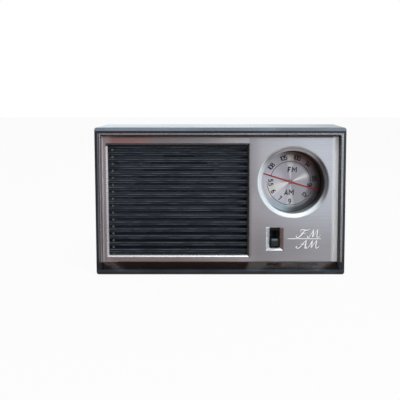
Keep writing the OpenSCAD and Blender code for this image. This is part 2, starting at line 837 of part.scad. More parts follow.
module dial_cord() {
    points = [for (i = [0:cord_count - 1]) each cord_ring(i)];
    faces = [for (i = [0:cord_count - 1]) for (k = [0:cord_sides - 1]) let (
            j = (i + 1) % cord_count, m = (k + 1) % cord_sides,
            a = i * cord_sides + k, b = i * cord_sides + m,
            c = j * cord_sides + m, d = j * cord_sides + k
        ) each [[a, d, c], [a, c, b]]];
    color([0.75, 0.72, 0.6]) on_face() polyhedron(points, faces, convexity = 10);
}

module tuning_spindle() {
    u0 = bracket_u0;
    winding = [cord_u - 1.6, cord_u + cord_turn_step * spindle_turns + 1.6];
    color(steel) on_face() translate([0, spindle_v, spindle_w]) {
        bar_x(u0, side_x + knob_proud - 1, shaft_r);
        bar_x(winding[0], winding[1], spindle_r);
    }
}

// A round knob on the right-hand wall, with a grooved rim
module side_knob(radius) {
    grooves = 36;
    x0 = side_x + clear;
    x1 = side_x + knob_proud;
    difference() {
        rotate([0, 90, 0]) rotate_extrude() polygon([
            [shaft_r, x0], [radius, x0], [radius, x1 - 0.8], [radius - 0.8, x1],
            [radius * 0.72, x1], [radius * 0.66, x1 - 0.5], [0, x1 - 0.5], [0, x1 - 1], [shaft_r, x1 - 1]
        ]);
        for (i = [0:grooves - 1]) rotate([i * 360 / grooves, 0, 0])
            translate([0, radius + 0.15, 0]) bar_x(x0 - 1, x1 + 1, 0.45);
    }
}

module tuning_knob() {
    color(black_gloss) in_cabinet() translate([0, spindle_y, spindle_z]) side_knob(tuning_knob_r);
}

module volume_knob() {
    color(black_gloss) in_cabinet() translate([0, volume_back, volume_up]) side_knob(volume_knob_r);
}

module volume_control() {
    color(steel) in_cabinet() translate([0, volume_back, volume_up]) difference() {
        union() {
            bar_x(inner_x - 8.3, inner_x, volume_case_r);
            bar_x(inner_x - eps, side_x, shaft_r + 1.4);
        }
        bar_x(inner_x - 5.2, side_x + 1, shaft_r + run_gap);
    }
}

module volume_shaft() {
    color(steel) in_cabinet() translate([0, volume_back, volume_up])
        bar_x(inner_x - 5, side_x + knob_proud - 1, shaft_r);
}

module idler_pulley() {
    half = groove_half + cord_gap;
    color([0.85, 0.83, 0.76]) on_face() translate([idler_u, idler_v, 0]) rotate_extrude() polygon([
        [idler_pin_r + run_gap, cord_low - half - 0.6], [idler_wheel_r, cord_low - half - 0.6],
        [idler_wheel_r, cord_low - half], [idler_r, cord_low - half + 0.3],
        [idler_r, cord_low + half - 0.3], [idler_wheel_r, cord_low + half],
        [idler_wheel_r, cord_low + half + 0.6], [idler_pin_r + run_gap, cord_low + half + 0.6]
    ]);
}

module idler_pin() {
    head = cord_low + groove_half + cord_gap + 0.6 + 0.1;
    seat = cord_low - groove_half - cord_gap - 0.6 - 0.1;
    color(steel) on_face() translate([idler_u, idler_v, 0]) {
        bar_w(bracket_back, head + 0.8, idler_pin_r);
        bar_w(head, head + 0.8, idler_pin_r + 0.9);
        bar_w(bracket_front, seat, idler_pin_r + 0.9);
    }
}

module bracket_ear(u) {
    slab([u, spindle_v - 4, bracket_back], [u + bracket_t, spindle_v + 4, ear_w]);
}

module drive_bracket() {
    color(steel) on_face() difference() {
        union() {
            slab([bracket_u0, bracket_v0, bracket_back], [bracket_u1, bracket_v1, bracket_front]);
            bracket_ear(bracket_u0);
            bracket_ear(far_ear_u);
        }
        translate([0, spindle_v, spindle_w]) bar_x(bracket_u0 - 1, inner_x, shaft_r + run_gap);
        translate([idler_u, idler_v, 0]) bar_w(bracket_back - 1, bracket_front + 1, idler_pin_r);
        for (p = bracket_posts)
            translate([p[0], p[1], 0]) bar_w(bracket_back - 1, bracket_front + 1, screw_r + run_gap);
        slab(
            [bracket_u0 + 5, idler_v + 10, bracket_back - 1],
            [bracket_u1 - 8, spindle_v - 9, bracket_front + 1]
        );
    }
}

module bracket_screws() {
    color(steel) on_face()
        for (p = bracket_posts)
            translate([p[0], p[1], 0]) screw(bracket_back, bracket_t + 5, screw_r, screw_head_r);
}

module switch_surround() {
    color(bright_metal) on_face() translate([switch_u, switch_v, 0]) difference() {
        union() {
            translate([-switch_w / 2, -switch_h / 2, plate_w]) cube([switch_w, switch_h, 0.3]);
            translate([-switch_w / 2 + 0.3, -switch_h / 2 + 0.3, surround_back])
                cube([switch_w - 0.6, switch_h - 0.6, switch_d + eps]);
        }
        funnel([switch_w - 1.2, switch_h - 1.2], [throat_w, throat_h], plate_w + 0.3, plate_w - bezel_fall);
        translate([-throat_w / 2, -throat_h / 2, surround_back - 1])
            cube([throat_w, throat_h, switch_d + 1 - bezel_fall + eps]);
    }
}

module band_switch_body() {
    can_h = throat_h + 1;
    color(steel) on_face() translate([switch_u, switch_v, 0]) difference() {
        union() {
            translate([-5.5, -switch_ear - 2, switch_plate_w - switch_plate_t])
                cube([11, 2 * switch_ear + 4, switch_plate_t]);
            translate([-5, -can_h / 2, switch_can_back])
                cube([10, can_h, switch_plate_w - switch_plate_t - switch_can_back + eps]);
        }
        translate([-stem_w / 2 - clear, -throat_h / 2 + 1, switch_can_back + 1])
            cube([stem_w + 2 * clear, throat_h - 2, 20]);
        for (v = [-1, 1]) translate([0, v * switch_ear, 0])
            bar_w(switch_plate_w - 3, switch_plate_w + 1, screw_r + run_gap - 0.3);
    }
}

module band_switch_button() {
    stem_h = throat_h - 2 - switch_travel - 2 * clear;
    color(black_gloss) on_face() translate([switch_u, button_rest_v, 0]) {
        translate([-button_w / 2, -button_h / 2, switch_plate_w + clear])
            cube([button_w, button_h, button_front - button_slope_t - switch_plate_w - clear]);
        funnel(
            [button_w - 2 * button_slope, button_h - 2 * button_slope], [button_w, button_h],
            button_front, button_front - button_slope_t - eps
        );
        translate([-stem_w / 2, -stem_h / 2, switch_can_back + 1 + clear])
            cube([stem_w, stem_h, switch_plate_w - switch_can_back]);
    }
}

module switch_screws() {
    color(steel) on_face()
        for (v = [-1, 1]) translate([switch_u, switch_v + v * switch_ear, 0])
            screw(switch_plate_w - switch_plate_t, switch_plate_t + 4, screw_r - 0.3, 1.9);
}

module circuit_board() {
    color(board_brown) on_face() difference() {
        slab([board_u0, board_v0, board_back], [board_u1, board_v1, board_front]);
        translate([dial_u, dial_v, 0]) bar_w(board_back - 1, board_front + 1, drum_shaft_r + 0.6);
        for (p = board_posts)
            translate([p[0], p[1], 0]) bar_w(board_back - 1, board_front + 1, board_screw_r + run_gap);
    }
}

module board_screws() {
    color(steel) on_face()
        for (p = board_posts)
            translate([p[0], p[1], 0]) screw(board_back, board_t + 4, board_screw_r, screw_head_r - 0.4);
}

// A place on the back of the board, given from its low left corner
module on_board(u, v) {
    on_face() translate([board_u0 + u, board_v0 + v, board_back]) rotate([180, 0, 0]) children();
}

module tuned_cans() {
    color(bright_metal) for (v = can_places) on_board(can_u, v) difference() {
        translate([-can_side / 2, -can_side / 2, 0]) cube([can_side, can_side, can_t]);
        translate([0, 0, can_t * 0.75]) cylinder(h = can_t, r = can_core_r);
    }
}

module transistors() {
    color(black_matt) for (p = transistor_places) on_board(p[0], p[1])
        cylinder(h = transistor_t, r = transistor_r);
}

module filter_capacitors() {
    color([0.2, 0.3, 0.5]) for (p = capacitor_places) on_board(p[0], p[1])
        cylinder(h = capacitor_t, r = capacitor_r);
}

module transformer(place, size) {
    color([0.35, 0.3, 0.25]) on_board(place[0], place[1])
        translate([-size[0] / 2, -size[1] / 2, 0]) cube(size);
}

module output_transformer() {
    transformer(output_place, output_size);
}

module driver_transformer() {
    transformer(driver_place, driver_size);
}

module ferrite_rod() {
    color([0.15, 0.14, 0.14]) in_cabinet() translate([0, rod_y, rod_z]) bar_x(rod_x, rod_x + rod_l, rod_r);
}

module rod_coil() {
    color([0.6, 0.35, 0.15]) in_cabinet() translate([0, rod_y, rod_z]) difference() {
        bar_x(rod_x + coil_place, rod_x + coil_place + coil_l, rod_r + coil_t);
        bar_x(rod_x + coil_place - 1, rod_x + coil_place + coil_l + 1, rod_r + run_gap);
    }
}

module rod_holders() {
    color([0.85, 0.83, 0.76]) in_cabinet() translate([0, rod_y, rod_z])
        for (place = holder_places) translate([rod_x + place, 0, 0]) difference() {
            slab(
                [0, -rod_r - holder_rim, -rod_r - holder_rim],
                [holder_w, rod_r + holder_rim, cab_h - wall - rod_z]
            );
            bar_x(-1, holder_w + 1, rod_r + run_gap);
        }
}

module battery_box() {
    inside_x = [box_x0 + box_wall, box_x1 - box_wall];
    color(black_matt) in_cabinet() difference() {
        slab([box_x0, box_y0, box_z0 - 0.3], [box_x1, box_y1, box_z0 + box_h]);
        slab(
            [inside_x[0], box_y0 + box_wall, box_z0 + box_wall],
            [inside_x[1], box_y1 + 1, box_z0 + box_h - box_wall]
        );
    }
}

module battery_cells() {
    middle = (box_x0 + box_x1) / 2;
    color([0.75, 0.5, 0.2]) in_cabinet()
        for (y = cell_ys) for (s = [-1, 1]) translate([middle, y, cell_z]) {
            bar_x(s < 0 ? -cell_l : 0.2, s < 0 ? -1.2 : cell_l - 1, cell_r);
            bar_x(s < 0 ? -1.3 : cell_l - 1.1, s < 0 ? -0.1 : cell_l + 0.2, 2.6);
        }
}

module battery_contacts() {
    left = box_x0 + box_wall;
    right = box_x1 - box_wall;
    middle = (box_x0 + box_x1) / 2;
    color(bright_metal) in_cabinet() for (y = cell_ys) {
        slab([left, y - 4.5, cell_z - 5], [left + 0.4, y + 4.5, cell_z + 5]);
        translate([0, y, cell_z]) bar_x(left + 0.3, middle - cell_l, 3);
        slab([right - 0.4, y - 4.5, cell_z - 5], [right, y + 4.5, cell_z + 5]);
        translate([0, y, cell_z]) bar_x(middle + cell_l + 0.2, right - 0.3, 3);
    }
}

module rear_outside() {
    rounded_bar(cab_w - 0.4, 0, cover_top, shell_y, depth, corner_r);
}

module rear_cover() {
    color(black_matt) in_cabinet() difference() {
        union() {
            difference() {
                rear_outside();
                rounded_bar(
                    2 * inner_x, wall, cover_top - wall, shell_y - 1, depth - wall, corner_r - wall / 2
                );
            }
            intersection() {
                rounded_bar(2 * web_x, 0, cab_h - wall - web_gap, web_y, shell_y + eps, corner_r - wall / 2);
                slab([-web_x, web_y, cover_top - wall], [web_x, shell_y + eps, cab_h]);
            }
            slab([-web_x, web_y, cover_top - wall], [web_x, shell_y + 4, cover_top - 0.1]);
            for (x = [-1, 1]) for (z = rear_screw_zs)
                translate([x * rear_boss_x, 0, z]) bar_y(shell_y, depth - wall / 2, rear_boss_r);
        }
        slab(
            [door_x0 - door_gap, depth - wall - 1, door_z0 - door_gap],
            [door_x1 + door_gap, depth + 1, door_z1 + door_gap]
        );
        translate([0, door_axis_y, door_axis_z]) bar_x(door_x0 - 2.4, door_x1 + 2.4, door_pin_r + run_gap);
        for (i = [0:vent_count - 1])
            translate([vent_x0 + i * vent_pitch, depth - wall - 1, vent_z0])
                cube([vent_w, wall + 2, vent_h]);
        for (x = [-1, 1]) for (z = rear_screw_zs) translate([x * rear_boss_x, 0, z]) {
            bar_y(shell_y - 1, depth + 1, screw_r + run_gap);
            bar_y(depth - 1.8, depth + 1, screw_head_r + 0.2);
        }
        translate([whip_pivot, 0, whip_z]) bar_y(web_y - 1, shell_y + 1, whip_pin_r);
    }
}

module rear_screws() {
    color(steel) in_cabinet()
        for (x = [-1, 1]) for (z = rear_screw_zs) translate([x * rear_boss_x, 0, z]) {
            bar_y(shell_y - 8, depth - 1.8, screw_r);
            bar_y(depth - 1.8, depth - 0.4, screw_head_r);
        }
}

module battery_door() {
    color(black_matt) in_cabinet() difference() {
        union() {
            slab(
                [door_x0, door_axis_y - door_t / 2, door_axis_z],
                [door_x1, door_axis_y + door_t / 2, door_z1]
            );
            translate([0, door_axis_y, door_axis_z]) bar_x(door_x0, door_x1, door_t / 2);
            translate([0, door_axis_y, door_axis_z]) bar_x(door_x0 - 2, door_x1 + 2, door_pin_r);
        }
        for (z = [0:3]) translate([(door_x0 + door_x1) / 2 - 9, depth, door_z1 - 3 - 1.4 * z])
            rotate([0, 90, 0]) cylinder(h = 18, r = 0.4);
    }
}

module earphone_jack() {
    color(steel) in_cabinet() translate([0, jack_y, jack_z]) difference() {
        union() {
            bar_x(-side_x, -inner_x + eps, jack_bore_r + 1.2);
            slab([-inner_x, -4.5, -4.5], [-inner_x + 11, 4.5, 4.5]);
        }
        bar_x(-side_x - 1, -inner_x + 8, jack_bore_r);
    }
}

module whip_pin() {
    color(bright_metal) in_cabinet() translate([whip_pivot, 0, whip_z]) {
        bar_y(web_y - 1, depth - 1, whip_pin_r);
        bar_y(depth - 1, depth - 0.1, whip_pin_r + 1.2);
        bar_y(web_y - 2, web_y, pin_seat_r);
    }
}

module whip_swivel() {
    color(bright_metal) in_cabinet() difference() {
        union() {
            translate([whip_pivot, 0, whip_z]) bar_y(shell_y + 0.3, depth - 1.1, swivel_r);
            translate([0, whip_y, whip_z]) bar_x(whip_start, whip_pivot - 2, whip_r - 0.1);
        }
        translate([whip_pivot, 0, whip_z]) bar_y(shell_y - 1, depth + 1, whip_pin_r + run_gap);
    }
}

// A tube of the whip, open towards -X
module whip_tube(x0, x1, r, bore) {
    color(bright_metal) in_cabinet() translate([0, whip_y, whip_z]) difference() {
        bar_x(x0, x1, r);
        bar_x(x0 - 1, x1 - 2, bore);
    }
}

module whip_outer() {
    whip_tube(whip_end, whip_start, whip_r, middle_r + run_gap);
}

module whip_middle() {
    whip_tube(whip_end - 2, whip_start - 4, middle_r, tip_r + run_gap);
}

module whip_tip() {
    color(bright_metal) in_cabinet() translate([0, whip_y, whip_z]) {
        bar_x(whip_end - 4, whip_start - 8, tip_r);
        bar_x(whip_end - 8, whip_end - 4, whip_r - 0.3);
    }
}

module feet() {
    color([0.07, 0.07, 0.07]) in_cabinet()
        for (x = [-1, 1]) for (y = foot_ys)
            translate([x * foot_x, y, -foot_h]) cylinder(h = foot_h + foot_sink, r = foot_r - 0.1);
}

cabinet();
rear_cover();
face_plate();
plate_trim();
grille_louvres();
baffle_board();
dial_ring();
dial_well();
dial_disc();
pointer();
tuning_shaft();
dial_drum();
tuning_capacitor();
dial_cord();
tuning_spindle();
tuning_knob();
idler_pulley();
idler_pin();
drive_bracket();
bracket_screws();
volume_control();
volume_shaft();
volume_knob();
switch_surround();
band_switch_body();
band_switch_button();
switch_screws();
speaker_frame();
speaker_cone();
speaker_magnet();
baffle_screws();
speaker_screws();
circuit_board();
board_screws();
tuned_cans();
transistors();
filter_capacitors();
output_transformer();
driver_transformer();
ferrite_rod();
rod_coil();
rod_holders();
battery_box();
battery_cells();
battery_contacts();
battery_door();
earphone_jack();
whip_pin();
whip_swivel();
whip_outer();
whip_middle();
whip_tip();
rear_screws();
feet();
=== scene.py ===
import bmesh
import bpy
import json
import math
import numpy as np
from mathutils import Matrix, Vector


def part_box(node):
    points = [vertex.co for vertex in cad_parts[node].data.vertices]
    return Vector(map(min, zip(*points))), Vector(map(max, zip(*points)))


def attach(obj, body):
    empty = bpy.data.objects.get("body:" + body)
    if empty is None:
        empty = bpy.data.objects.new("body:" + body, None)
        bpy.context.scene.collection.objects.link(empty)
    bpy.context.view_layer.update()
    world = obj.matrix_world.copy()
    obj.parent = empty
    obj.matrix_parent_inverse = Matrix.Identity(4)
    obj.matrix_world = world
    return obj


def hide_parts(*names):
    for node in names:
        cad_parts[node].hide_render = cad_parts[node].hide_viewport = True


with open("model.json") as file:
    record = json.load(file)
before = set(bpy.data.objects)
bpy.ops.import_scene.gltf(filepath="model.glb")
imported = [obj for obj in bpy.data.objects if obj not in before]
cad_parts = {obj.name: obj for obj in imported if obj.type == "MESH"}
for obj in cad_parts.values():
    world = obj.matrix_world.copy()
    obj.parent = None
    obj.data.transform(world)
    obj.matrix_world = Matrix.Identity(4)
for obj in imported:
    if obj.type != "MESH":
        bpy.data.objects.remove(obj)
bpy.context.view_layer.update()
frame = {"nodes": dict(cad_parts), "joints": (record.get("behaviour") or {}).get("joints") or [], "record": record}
print("frame loaded:", len(frame["nodes"]), "nodes")

mm = 0.001
lean = math.radians(7)  # the front leans back by this angle

# The face frame has u to the right, v up the leaning front from its bottom edge, w out to the viewer.
cabinetLow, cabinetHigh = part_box("cabinet")
faceOrigin = np.array([(cabinetLow.x + cabinetHigh.x) / 2, cabinetLow.y, cabinetLow.z])
uAxis = np.array([1.0, 0.0, 0.0])
vAxis = np.array([0.0, math.sin(lean), math.cos(lean)])
wAxis = np.array([0.0, -math.cos(lean), math.sin(lean)])


# A point of the face frame, in millimetres, becomes a place in the row frame, in metres.
def onFace(u, v, w):
    u, v, w = np.broadcast_arrays(np.asarray(u, float), np.asarray(v, float), np.asarray(w, float))
    return faceOrigin + mm * (u[..., None] * uAxis + v[..., None] * vAxis + w[..., None] * wAxis)


# The same for the cabinet's own frame: x from its middle, y from the front's foot, z from its underside.
def inCabinet(x, y, z):
    return faceOrigin + mm * np.stack(np.broadcast_arrays(*[np.asarray(a, float) for a in (x, y, z)]), -1)


# A place in the row frame becomes u, v and w.
def toFace(point):
    away = (np.array(point) - faceOrigin) / mm
    return away @ uAxis, away @ vAxis, away @ wAxis


# The lowest and highest corner of a node's box, in the cabinet's own frame.
def boxInCabinet(node):
    return [(np.array(corner) - faceOrigin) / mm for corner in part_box(node)]


joints = {j["name"]: j for j in frame["joints"]}
dialU, dialV, _ = toFace(joints["dial_turn"]["pos_m"])

# Camera, as in the photograph: nearly square on, a little above the radio.
view = dict(
    place=(-0.68 * mm, -484.8 * mm, 137.93 * mm), pitch=11.73, focalPixels=610.16, imagePixels=400,
    centreX=222.8, centreY=219.13, sensor=36.0, clip=0.01,
)


# The lens comes from the focal length in pixels, and the shift from the place of the picture's middle.
def makeCamera():
    data = bpy.data.cameras.new("camera")
    data.sensor_width = view["sensor"]
    data.lens = view["focalPixels"] * view["sensor"] / view["imagePixels"]
    data.shift_x = 0.5 - view["centreX"] / view["imagePixels"]
    data.shift_y = view["centreY"] / view["imagePixels"] - 0.5
    data.clip_start = view["clip"]
    camera = bpy.data.objects.new("camera", data)
    camera.location = view["place"]
    camera.rotation_euler = (math.radians(90 - view["pitch"]), 0, 0)
    bpy.context.scene.collection.objects.link(camera)
    bpy.context.scene.camera = camera


makeCamera()
print("camera made")


# A socket of a node tree. Arithmetic on it adds Math nodes, and a | b is the larger of the two.
class Field:
    def __init__(self, graph, socket):
        self.graph, self.socket = graph, socket

    def math(self, kind, *others):
        return self.graph.node("ShaderNodeMath", {"operation": kind}, [self, *others])

    def __add__(self, other): return self.math("ADD", other)
    def __sub__(self, other): return self.math("SUBTRACT", other)
    def __mul__(self, other): return self.math("MULTIPLY", other)
    def __truediv__(self, other): return self.math("DIVIDE", other)
    def __or__(self, other): return self.math("MAXIMUM", other)
    def __gt__(self, other): return self.math("GREATER_THAN", other)
    def __lt__(self, other): return self.math("LESS_THAN", other)
    def __neg__(self): return self.math("MULTIPLY", -1.0)
    def __abs__(self): return self.math("ABSOLUTE")
    def __radd__(self, other): return self.math("ADD", other)
    def __rmul__(self, other): return self.math("MULTIPLY", other)

    def __rsub__(self, other):
        return self.graph.node("ShaderNodeMath", {"operation": "SUBTRACT"}, [other, self])

    # a smooth step from 0 at low to 1 at high
    def rise(self, low, high):
        return self.graph.node(
            "ShaderNodeMapRange", {"interpolation_type": "SMOOTHSTEP"},
            {"Value": self, "From Min": low, "From Max": high})

    # a smooth step from 1 at low to 0 at high
    def fall(self, low, high):
        return 1 - self.rise(low, high)

    # 1 between low and high, and 0 elsewhere
    def within(self, low, high):
        return (self > low) * (self < high)


# A node tree, and the one method that adds any node to it.
class Graph:
    def __init__(self, tree):
        self.tree = tree

    # Settings are set first, then the inputs by name or in order.
    def node(self, kind, settings=None, inputs=None, output=0):
        made = self.tree.nodes.new(kind)
        for key, value in (settings or {}).items():
            setattr(made, key, value)
        pairs = inputs.items() if isinstance(inputs, dict) else enumerate(inputs or [])
        for key, value in pairs:
            self.feed(made.inputs[key], value)
        return Field(self, made.outputs[output])

    def feed(self, socket, value):
        if isinstance(value, Field):
            self.tree.links.new(value.socket, socket)
        elif socket.type == "RGBA":
            socket.default_value = (*value[:3], 1.0)
        else:
            socket.default_value = value


# A material: a Principled shader, and the places and patterns that the finishes share.
class Finish(Graph):
    def __init__(self, name, color=(0.5, 0.5, 0.5), **values):
        self.mat = bpy.data.materials.new(name)
        self.mat.use_nodes = True
        super().__init__(self.mat.node_tree)
        self.shader = self.tree.nodes["Principled BSDF"]
        self.put("Base Color", color)
        for key, value in values.items():
            self.put(key, value)

    def put(self, name, value):
        self.feed(self.shader.inputs[name], value)

    # the face frame's u, v and w, in millimetres from a chosen point of the face
    def faceSpot(self, u=0.0, v=0.0):
        away = self.node("ShaderNodeVectorMath", {"operation": "SUBTRACT"}, [
            self.node("ShaderNodeTexCoord", output="Object"), tuple(onFace(u, v, 0.0))])
        return [
            self.node("ShaderNodeVectorMath", {"operation": "DOT_PRODUCT"}, [away, tuple(axis / mm)], "Value")
            for axis in (uAxis, vAxis, wAxis)]

    def noise(self, scale, stretch=(1, 1, 1), detail=2.0, roughness=0.5, turn=(0, 0, 0)):
        spot = self.node("ShaderNodeTexCoord", output="Object")
        placed = self.node("ShaderNodeMapping", {}, {"Vector": spot, "Scale": stretch, "Rotation": turn})
        return self.node("ShaderNodeTexNoise", {}, {
            "Vector": placed, "Scale": scale, "Detail": detail, "Roughness": roughness})

    # a slow change of tone
    def wander(self):
        return self.noise(28, detail=3).rise(0.3, 0.7)

    # specks of dust, in patches
    def specks(self):
        return self.noise(1500, detail=1).rise(0.70, 0.76) * self.noise(60, detail=2).rise(0.45, 0.62)

    # two colours mixed by a factor
    def tint(self, factor, first, second):
        return self.node("ShaderNodeMix", {"data_type": "RGBA"}, {0: factor, 6: first, 7: second}, 2)

    # colours laid over a base one after the other, each by its own factor
    def layers(self, base, *rows):
        for factor, color in rows:
            base = self.tint(factor, base, color)
        return base

    def bump(self, height, strength, distance):
        self.put("Normal", self.node("ShaderNodeBump", {}, {
            "Height": height, "Strength": strength, "Distance": distance}))

    # the fine grain of a moulded skin
    def grain(self, size, strength):
        self.bump(self.noise(size, detail=2), strength, 0.00004)


black = dict(gloss=(0.016, 0.019, 0.024), grained=(0.03, 0.031, 0.034), slats=(0.0085, 0.0125, 0.021))
dustColor = (0.42, 0.40, 0.37)


# A colour made darker or brighter, never beyond 1.
def scaled(color, factor):
    return [min(1.0, factor * c) for c in color]


# Moulded plastic: a fine grain in the bump, colour and roughness that wander, and dust.
def plastic(name, color, roughness, grain=0.15, grainSize=2600, dust=0.0):
    f = Finish(name, color, Roughness=roughness)
    wander = f.wander()
    base = f.tint(wander, scaled(color, 0.86), scaled(color, 1.16))
    sheen = wander * 0.07 + (roughness - 0.03)
    if dust:
        specks = f.specks()
        base = f.tint(specks * dust, base, dustColor)
        sheen = sheen + specks * 0.3
    f.put("Base Color", base)
    f.put("Roughness", sheen)
    f.grain(grainSize, grain)
    return f.mat


recess = dict(
    side=91.6, foot=8.6, top=105.6, front=-1.55, back=-12.0, roughness=0.5,
    dark=(0.014, 0.009, 0.008), brown=(0.10, 0.045, 0.038), brownFrom=100, brownSpan=(60, -70),
    litLeftWallEnd=-80, rimBack=-6.4, lit=(0.20, 0.19, 0.19), rim=(0.88, 0.83, 0.85),
    topEdge=(108.95, 109.45), edgeBack=-1.3, paintedHighlight=(0.20, 0.25, 0.31),
    footRise=(1.4, 2.0), footFall=(3.3, 3.9), footBack=-1.4, paintedFootHighlight=(0.035, 0.05, 0.068),
    ledge=(-8.2, -1.4), ledgeTop=9, sill=(0.012, 0.006, 0.005),
    flange=(91, 93.05), flangeEnds=(9.4, 107.4), flangeBack=-0.5,
    flangeLeft=(0.30, 0.29, 0.31), flangeRight=(0.42, 0.42, 0.44),
)


# The cabinet's polished plastic. The recess has dull walls; its left wall is painted bright and made metallic, a
# painted highlight, and its upper walls carry a painted brown reflection. The upper front edge and the sill's foot
# carry a painted blue grey highlight, the sill a painted brown reflection, and the flange's left run painted
# shade. Fine scratches stay off the sill.
def polishedCabinet():
    color, p = black["gloss"], recess
    f = Finish("polishedBlack", color)
    wander, specks = f.wander(), f.specks()
    u, v, w = f.faceSpot()
    walls = w.within(p["back"], p["front"]) * (abs(u) < p["side"]) * v.within(p["foot"], p["top"])
    # Painted highlight: the left recess wall is painted bright and made metallic, brightest near the plate, where
    # the light from the right falls on it.
    litLeftWall = walls * (u < p["litLeftWallEnd"])
    # Painted brown reflection on the upper recess walls, growing towards the left.
    over = walls * (v > p["brownFrom"]) * (u - wander * 20).rise(*p["brownSpan"])
    # Painted highlights: a blue grey line along the upper front edge, and another on the sill's foot.
    paintedHighlight = v.rise(*p["topEdge"]) * (w > p["edgeBack"]) * (wander * 0.3 + 0.7)
    paintedFootHighlight = v.rise(*p["footRise"]) * v.fall(*p["footFall"]) * (w > p["footBack"]) * (wander * 0.5 + 0.5)
    ledge = w.within(*p["ledge"]) * (v < p["ledgeTop"]) * (abs(u) < p["side"])
    # Painted brown reflection on the sill, blotched by a stretched noise.
    sill = ledge * (f.noise(60, (1, 3, 3), detail=3) * 0.8 + 0.6)
    hair = f.noise(90, (1, 6, 1), detail=4, roughness=0.7, turn=(0.2, 0.5, 0.9)).rise(0.62, 0.68)
    hair = hair * (1 - ledge)
    # The trim's flange painted over the rim's inner edge, its left run painted darker than its right: painted
    # shade.
    flange = (w > p["flangeBack"]) * abs(u).within(*p["flange"]) * v.within(*p["flangeEnds"])
    shine = f.layers(
        f.tint(wander, scaled(color, 0.86), scaled(color, 1.16)), (hair * 0.3, scaled(color, 2.2)),
        (specks * 0.25, dustColor), (paintedHighlight, p["paintedHighlight"]), (paintedFootHighlight, p["paintedFootHighlight"]), (sill, p["sill"]),
        (flange, f.tint(u > 0, p["flangeLeft"], p["flangeRight"])))
    inner = f.layers(
        p["dark"], (over, p["brown"]), (litLeftWall, f.tint((w < p["rimBack"]) * 0.9, p["lit"], p["rim"])))
    f.put("Base Color", f.tint(walls, shine, inner))
    f.put("Metallic", litLeftWall * 0.85 + flange * 0.8)
    sheen = wander * 0.05 + hair * 0.1 + specks * 0.3 + paintedHighlight * 0.15 + 0.1
    f.put("Roughness", sheen + (walls - litLeftWall) * p["roughness"] + litLeftWall * 0.3)
    f.grain(2600, 0.04)
    return f.mat


metalTone = dict(low=0.9, high=1.06, tarnish=(0.72, 0.64, 0.56), patch=(0.5, 0.72), share=0.25, streaks=0.16)


# Drawn or plated metal, with faint streaks along one direction and a few tarnished patches.
def metal(name, color, roughness, stretch=(1, 1, 1), bump=0.1):
    p = metalTone
    f = Finish(name, color, Metallic=1.0, Roughness=roughness)
    lines = f.noise(900, stretch, detail=3)
    patch = f.noise(45, detail=4, roughness=0.6).rise(*p["patch"]) * p["share"]
    base = f.tint(lines, scaled(color, p["low"]), scaled(color, p["high"]))
    f.put("Base Color", f.tint(patch, base, [k * c for k, c in zip(p["tarnish"], color)]))
    f.put("Roughness", (lines - 0.5) * p["streaks"] + patch * 0.25 + roughness)
    f.bump(lines, bump, 0.00002)
    return f.mat


trimTone = dict(
    bright=(0.60, 0.60, 0.63), shadedTrim=(0.20, 0.20, 0.215), inner=(0.06, 0.06, 0.065), redReflection=(0.34, 0.25, 0.24),
    tarnish=(0.40, 0.36, 0.34), topRun=105.5, topEdge=(106.6, 107.1), leftEdge=(91.5, 91.8),
    topRunShade=(20, 40), redReflectionSpan=(20, 60), rightRun=80, rightEdge=(91.5, 91.9),
)


# The trim round the recess: bright drawn metal, with painted shade along its outer half and on its left run, a
# painted red reflection at the top left, and painted shade inside the right run.
def drawnTrim():
    p = trimTone
    f = Finish("brightTrim", p["bright"], Metallic=1.0)
    u, v, _ = f.faceSpot()
    lines = f.noise(900, (0.05, 1, 1), detail=3)
    patch = f.noise(45, detail=4, roughness=0.6).rise(0.45, 0.7)
    above, upright = v > p["topRun"], v < p["topRun"]
    # Painted shade on the trim's outer half, its left run and the right part of its top run, with a painted red
    # reflection at the top left.
    outer = v.rise(*p["topEdge"]) | (-u).rise(*p["leftEdge"]) * 0.9 | (u < 0) * upright * 0.35
    outer = outer | above * u.rise(*p["topRunShade"]) * 0.4
    f.put("Base Color", f.layers(
        f.tint(lines, scaled(p["bright"], 0.9), p["bright"]), (patch * 0.7, p["tarnish"]),
        (outer, f.tint((-u).rise(*p["redReflectionSpan"]) * above, p["shadedTrim"], p["redReflection"])),
        # painted shade inside the right run
        ((u > p["rightRun"]) * u.fall(*p["rightEdge"]) * upright, p["inner"])))
    f.put("Roughness", lines * 0.12 + patch * 0.2 + 0.2)
    f.bump(lines, 0.1, 0.00002)
    return f.mat


plateFinish = dict(
    cool=(0.62, 0.645, 0.69), dim=(0.53, 0.535, 0.56), warm=(0.47, 0.36, 0.345), red=(0.57, 0.275, 0.25),
    shade=(0.36, 0.35, 0.36), edgeShade=(0.22, 0.19, 0.19), bright=(0.68, 0.71, 0.77), pale=(0.76, 0.64, 0.66),
    right=(0.97, 0.99, 1.0), roughness=0.24, along=(0.012, 1, 1), lines=2400, fine=9000, bump=0.35,
    leftReflectionSpan=(-60, 60), corner=(100, 175), opening=22.2, lowShadeU=(20, 30), lowShadeV=(20, 52),
    besideU=(24, 34), besideV=(52, 72), aboveLeft=(-62, -46), aboveRight=(-14, 8),
    edgeShadeIn=(-3.2, 0), edgeShadeAlong=(12, 100.3), topEdgeShade=(104.1, 104.6),
    paleEnd=(82, 88), rightEnd=(85.2, 89.0), leftEdge=-90.2,
)
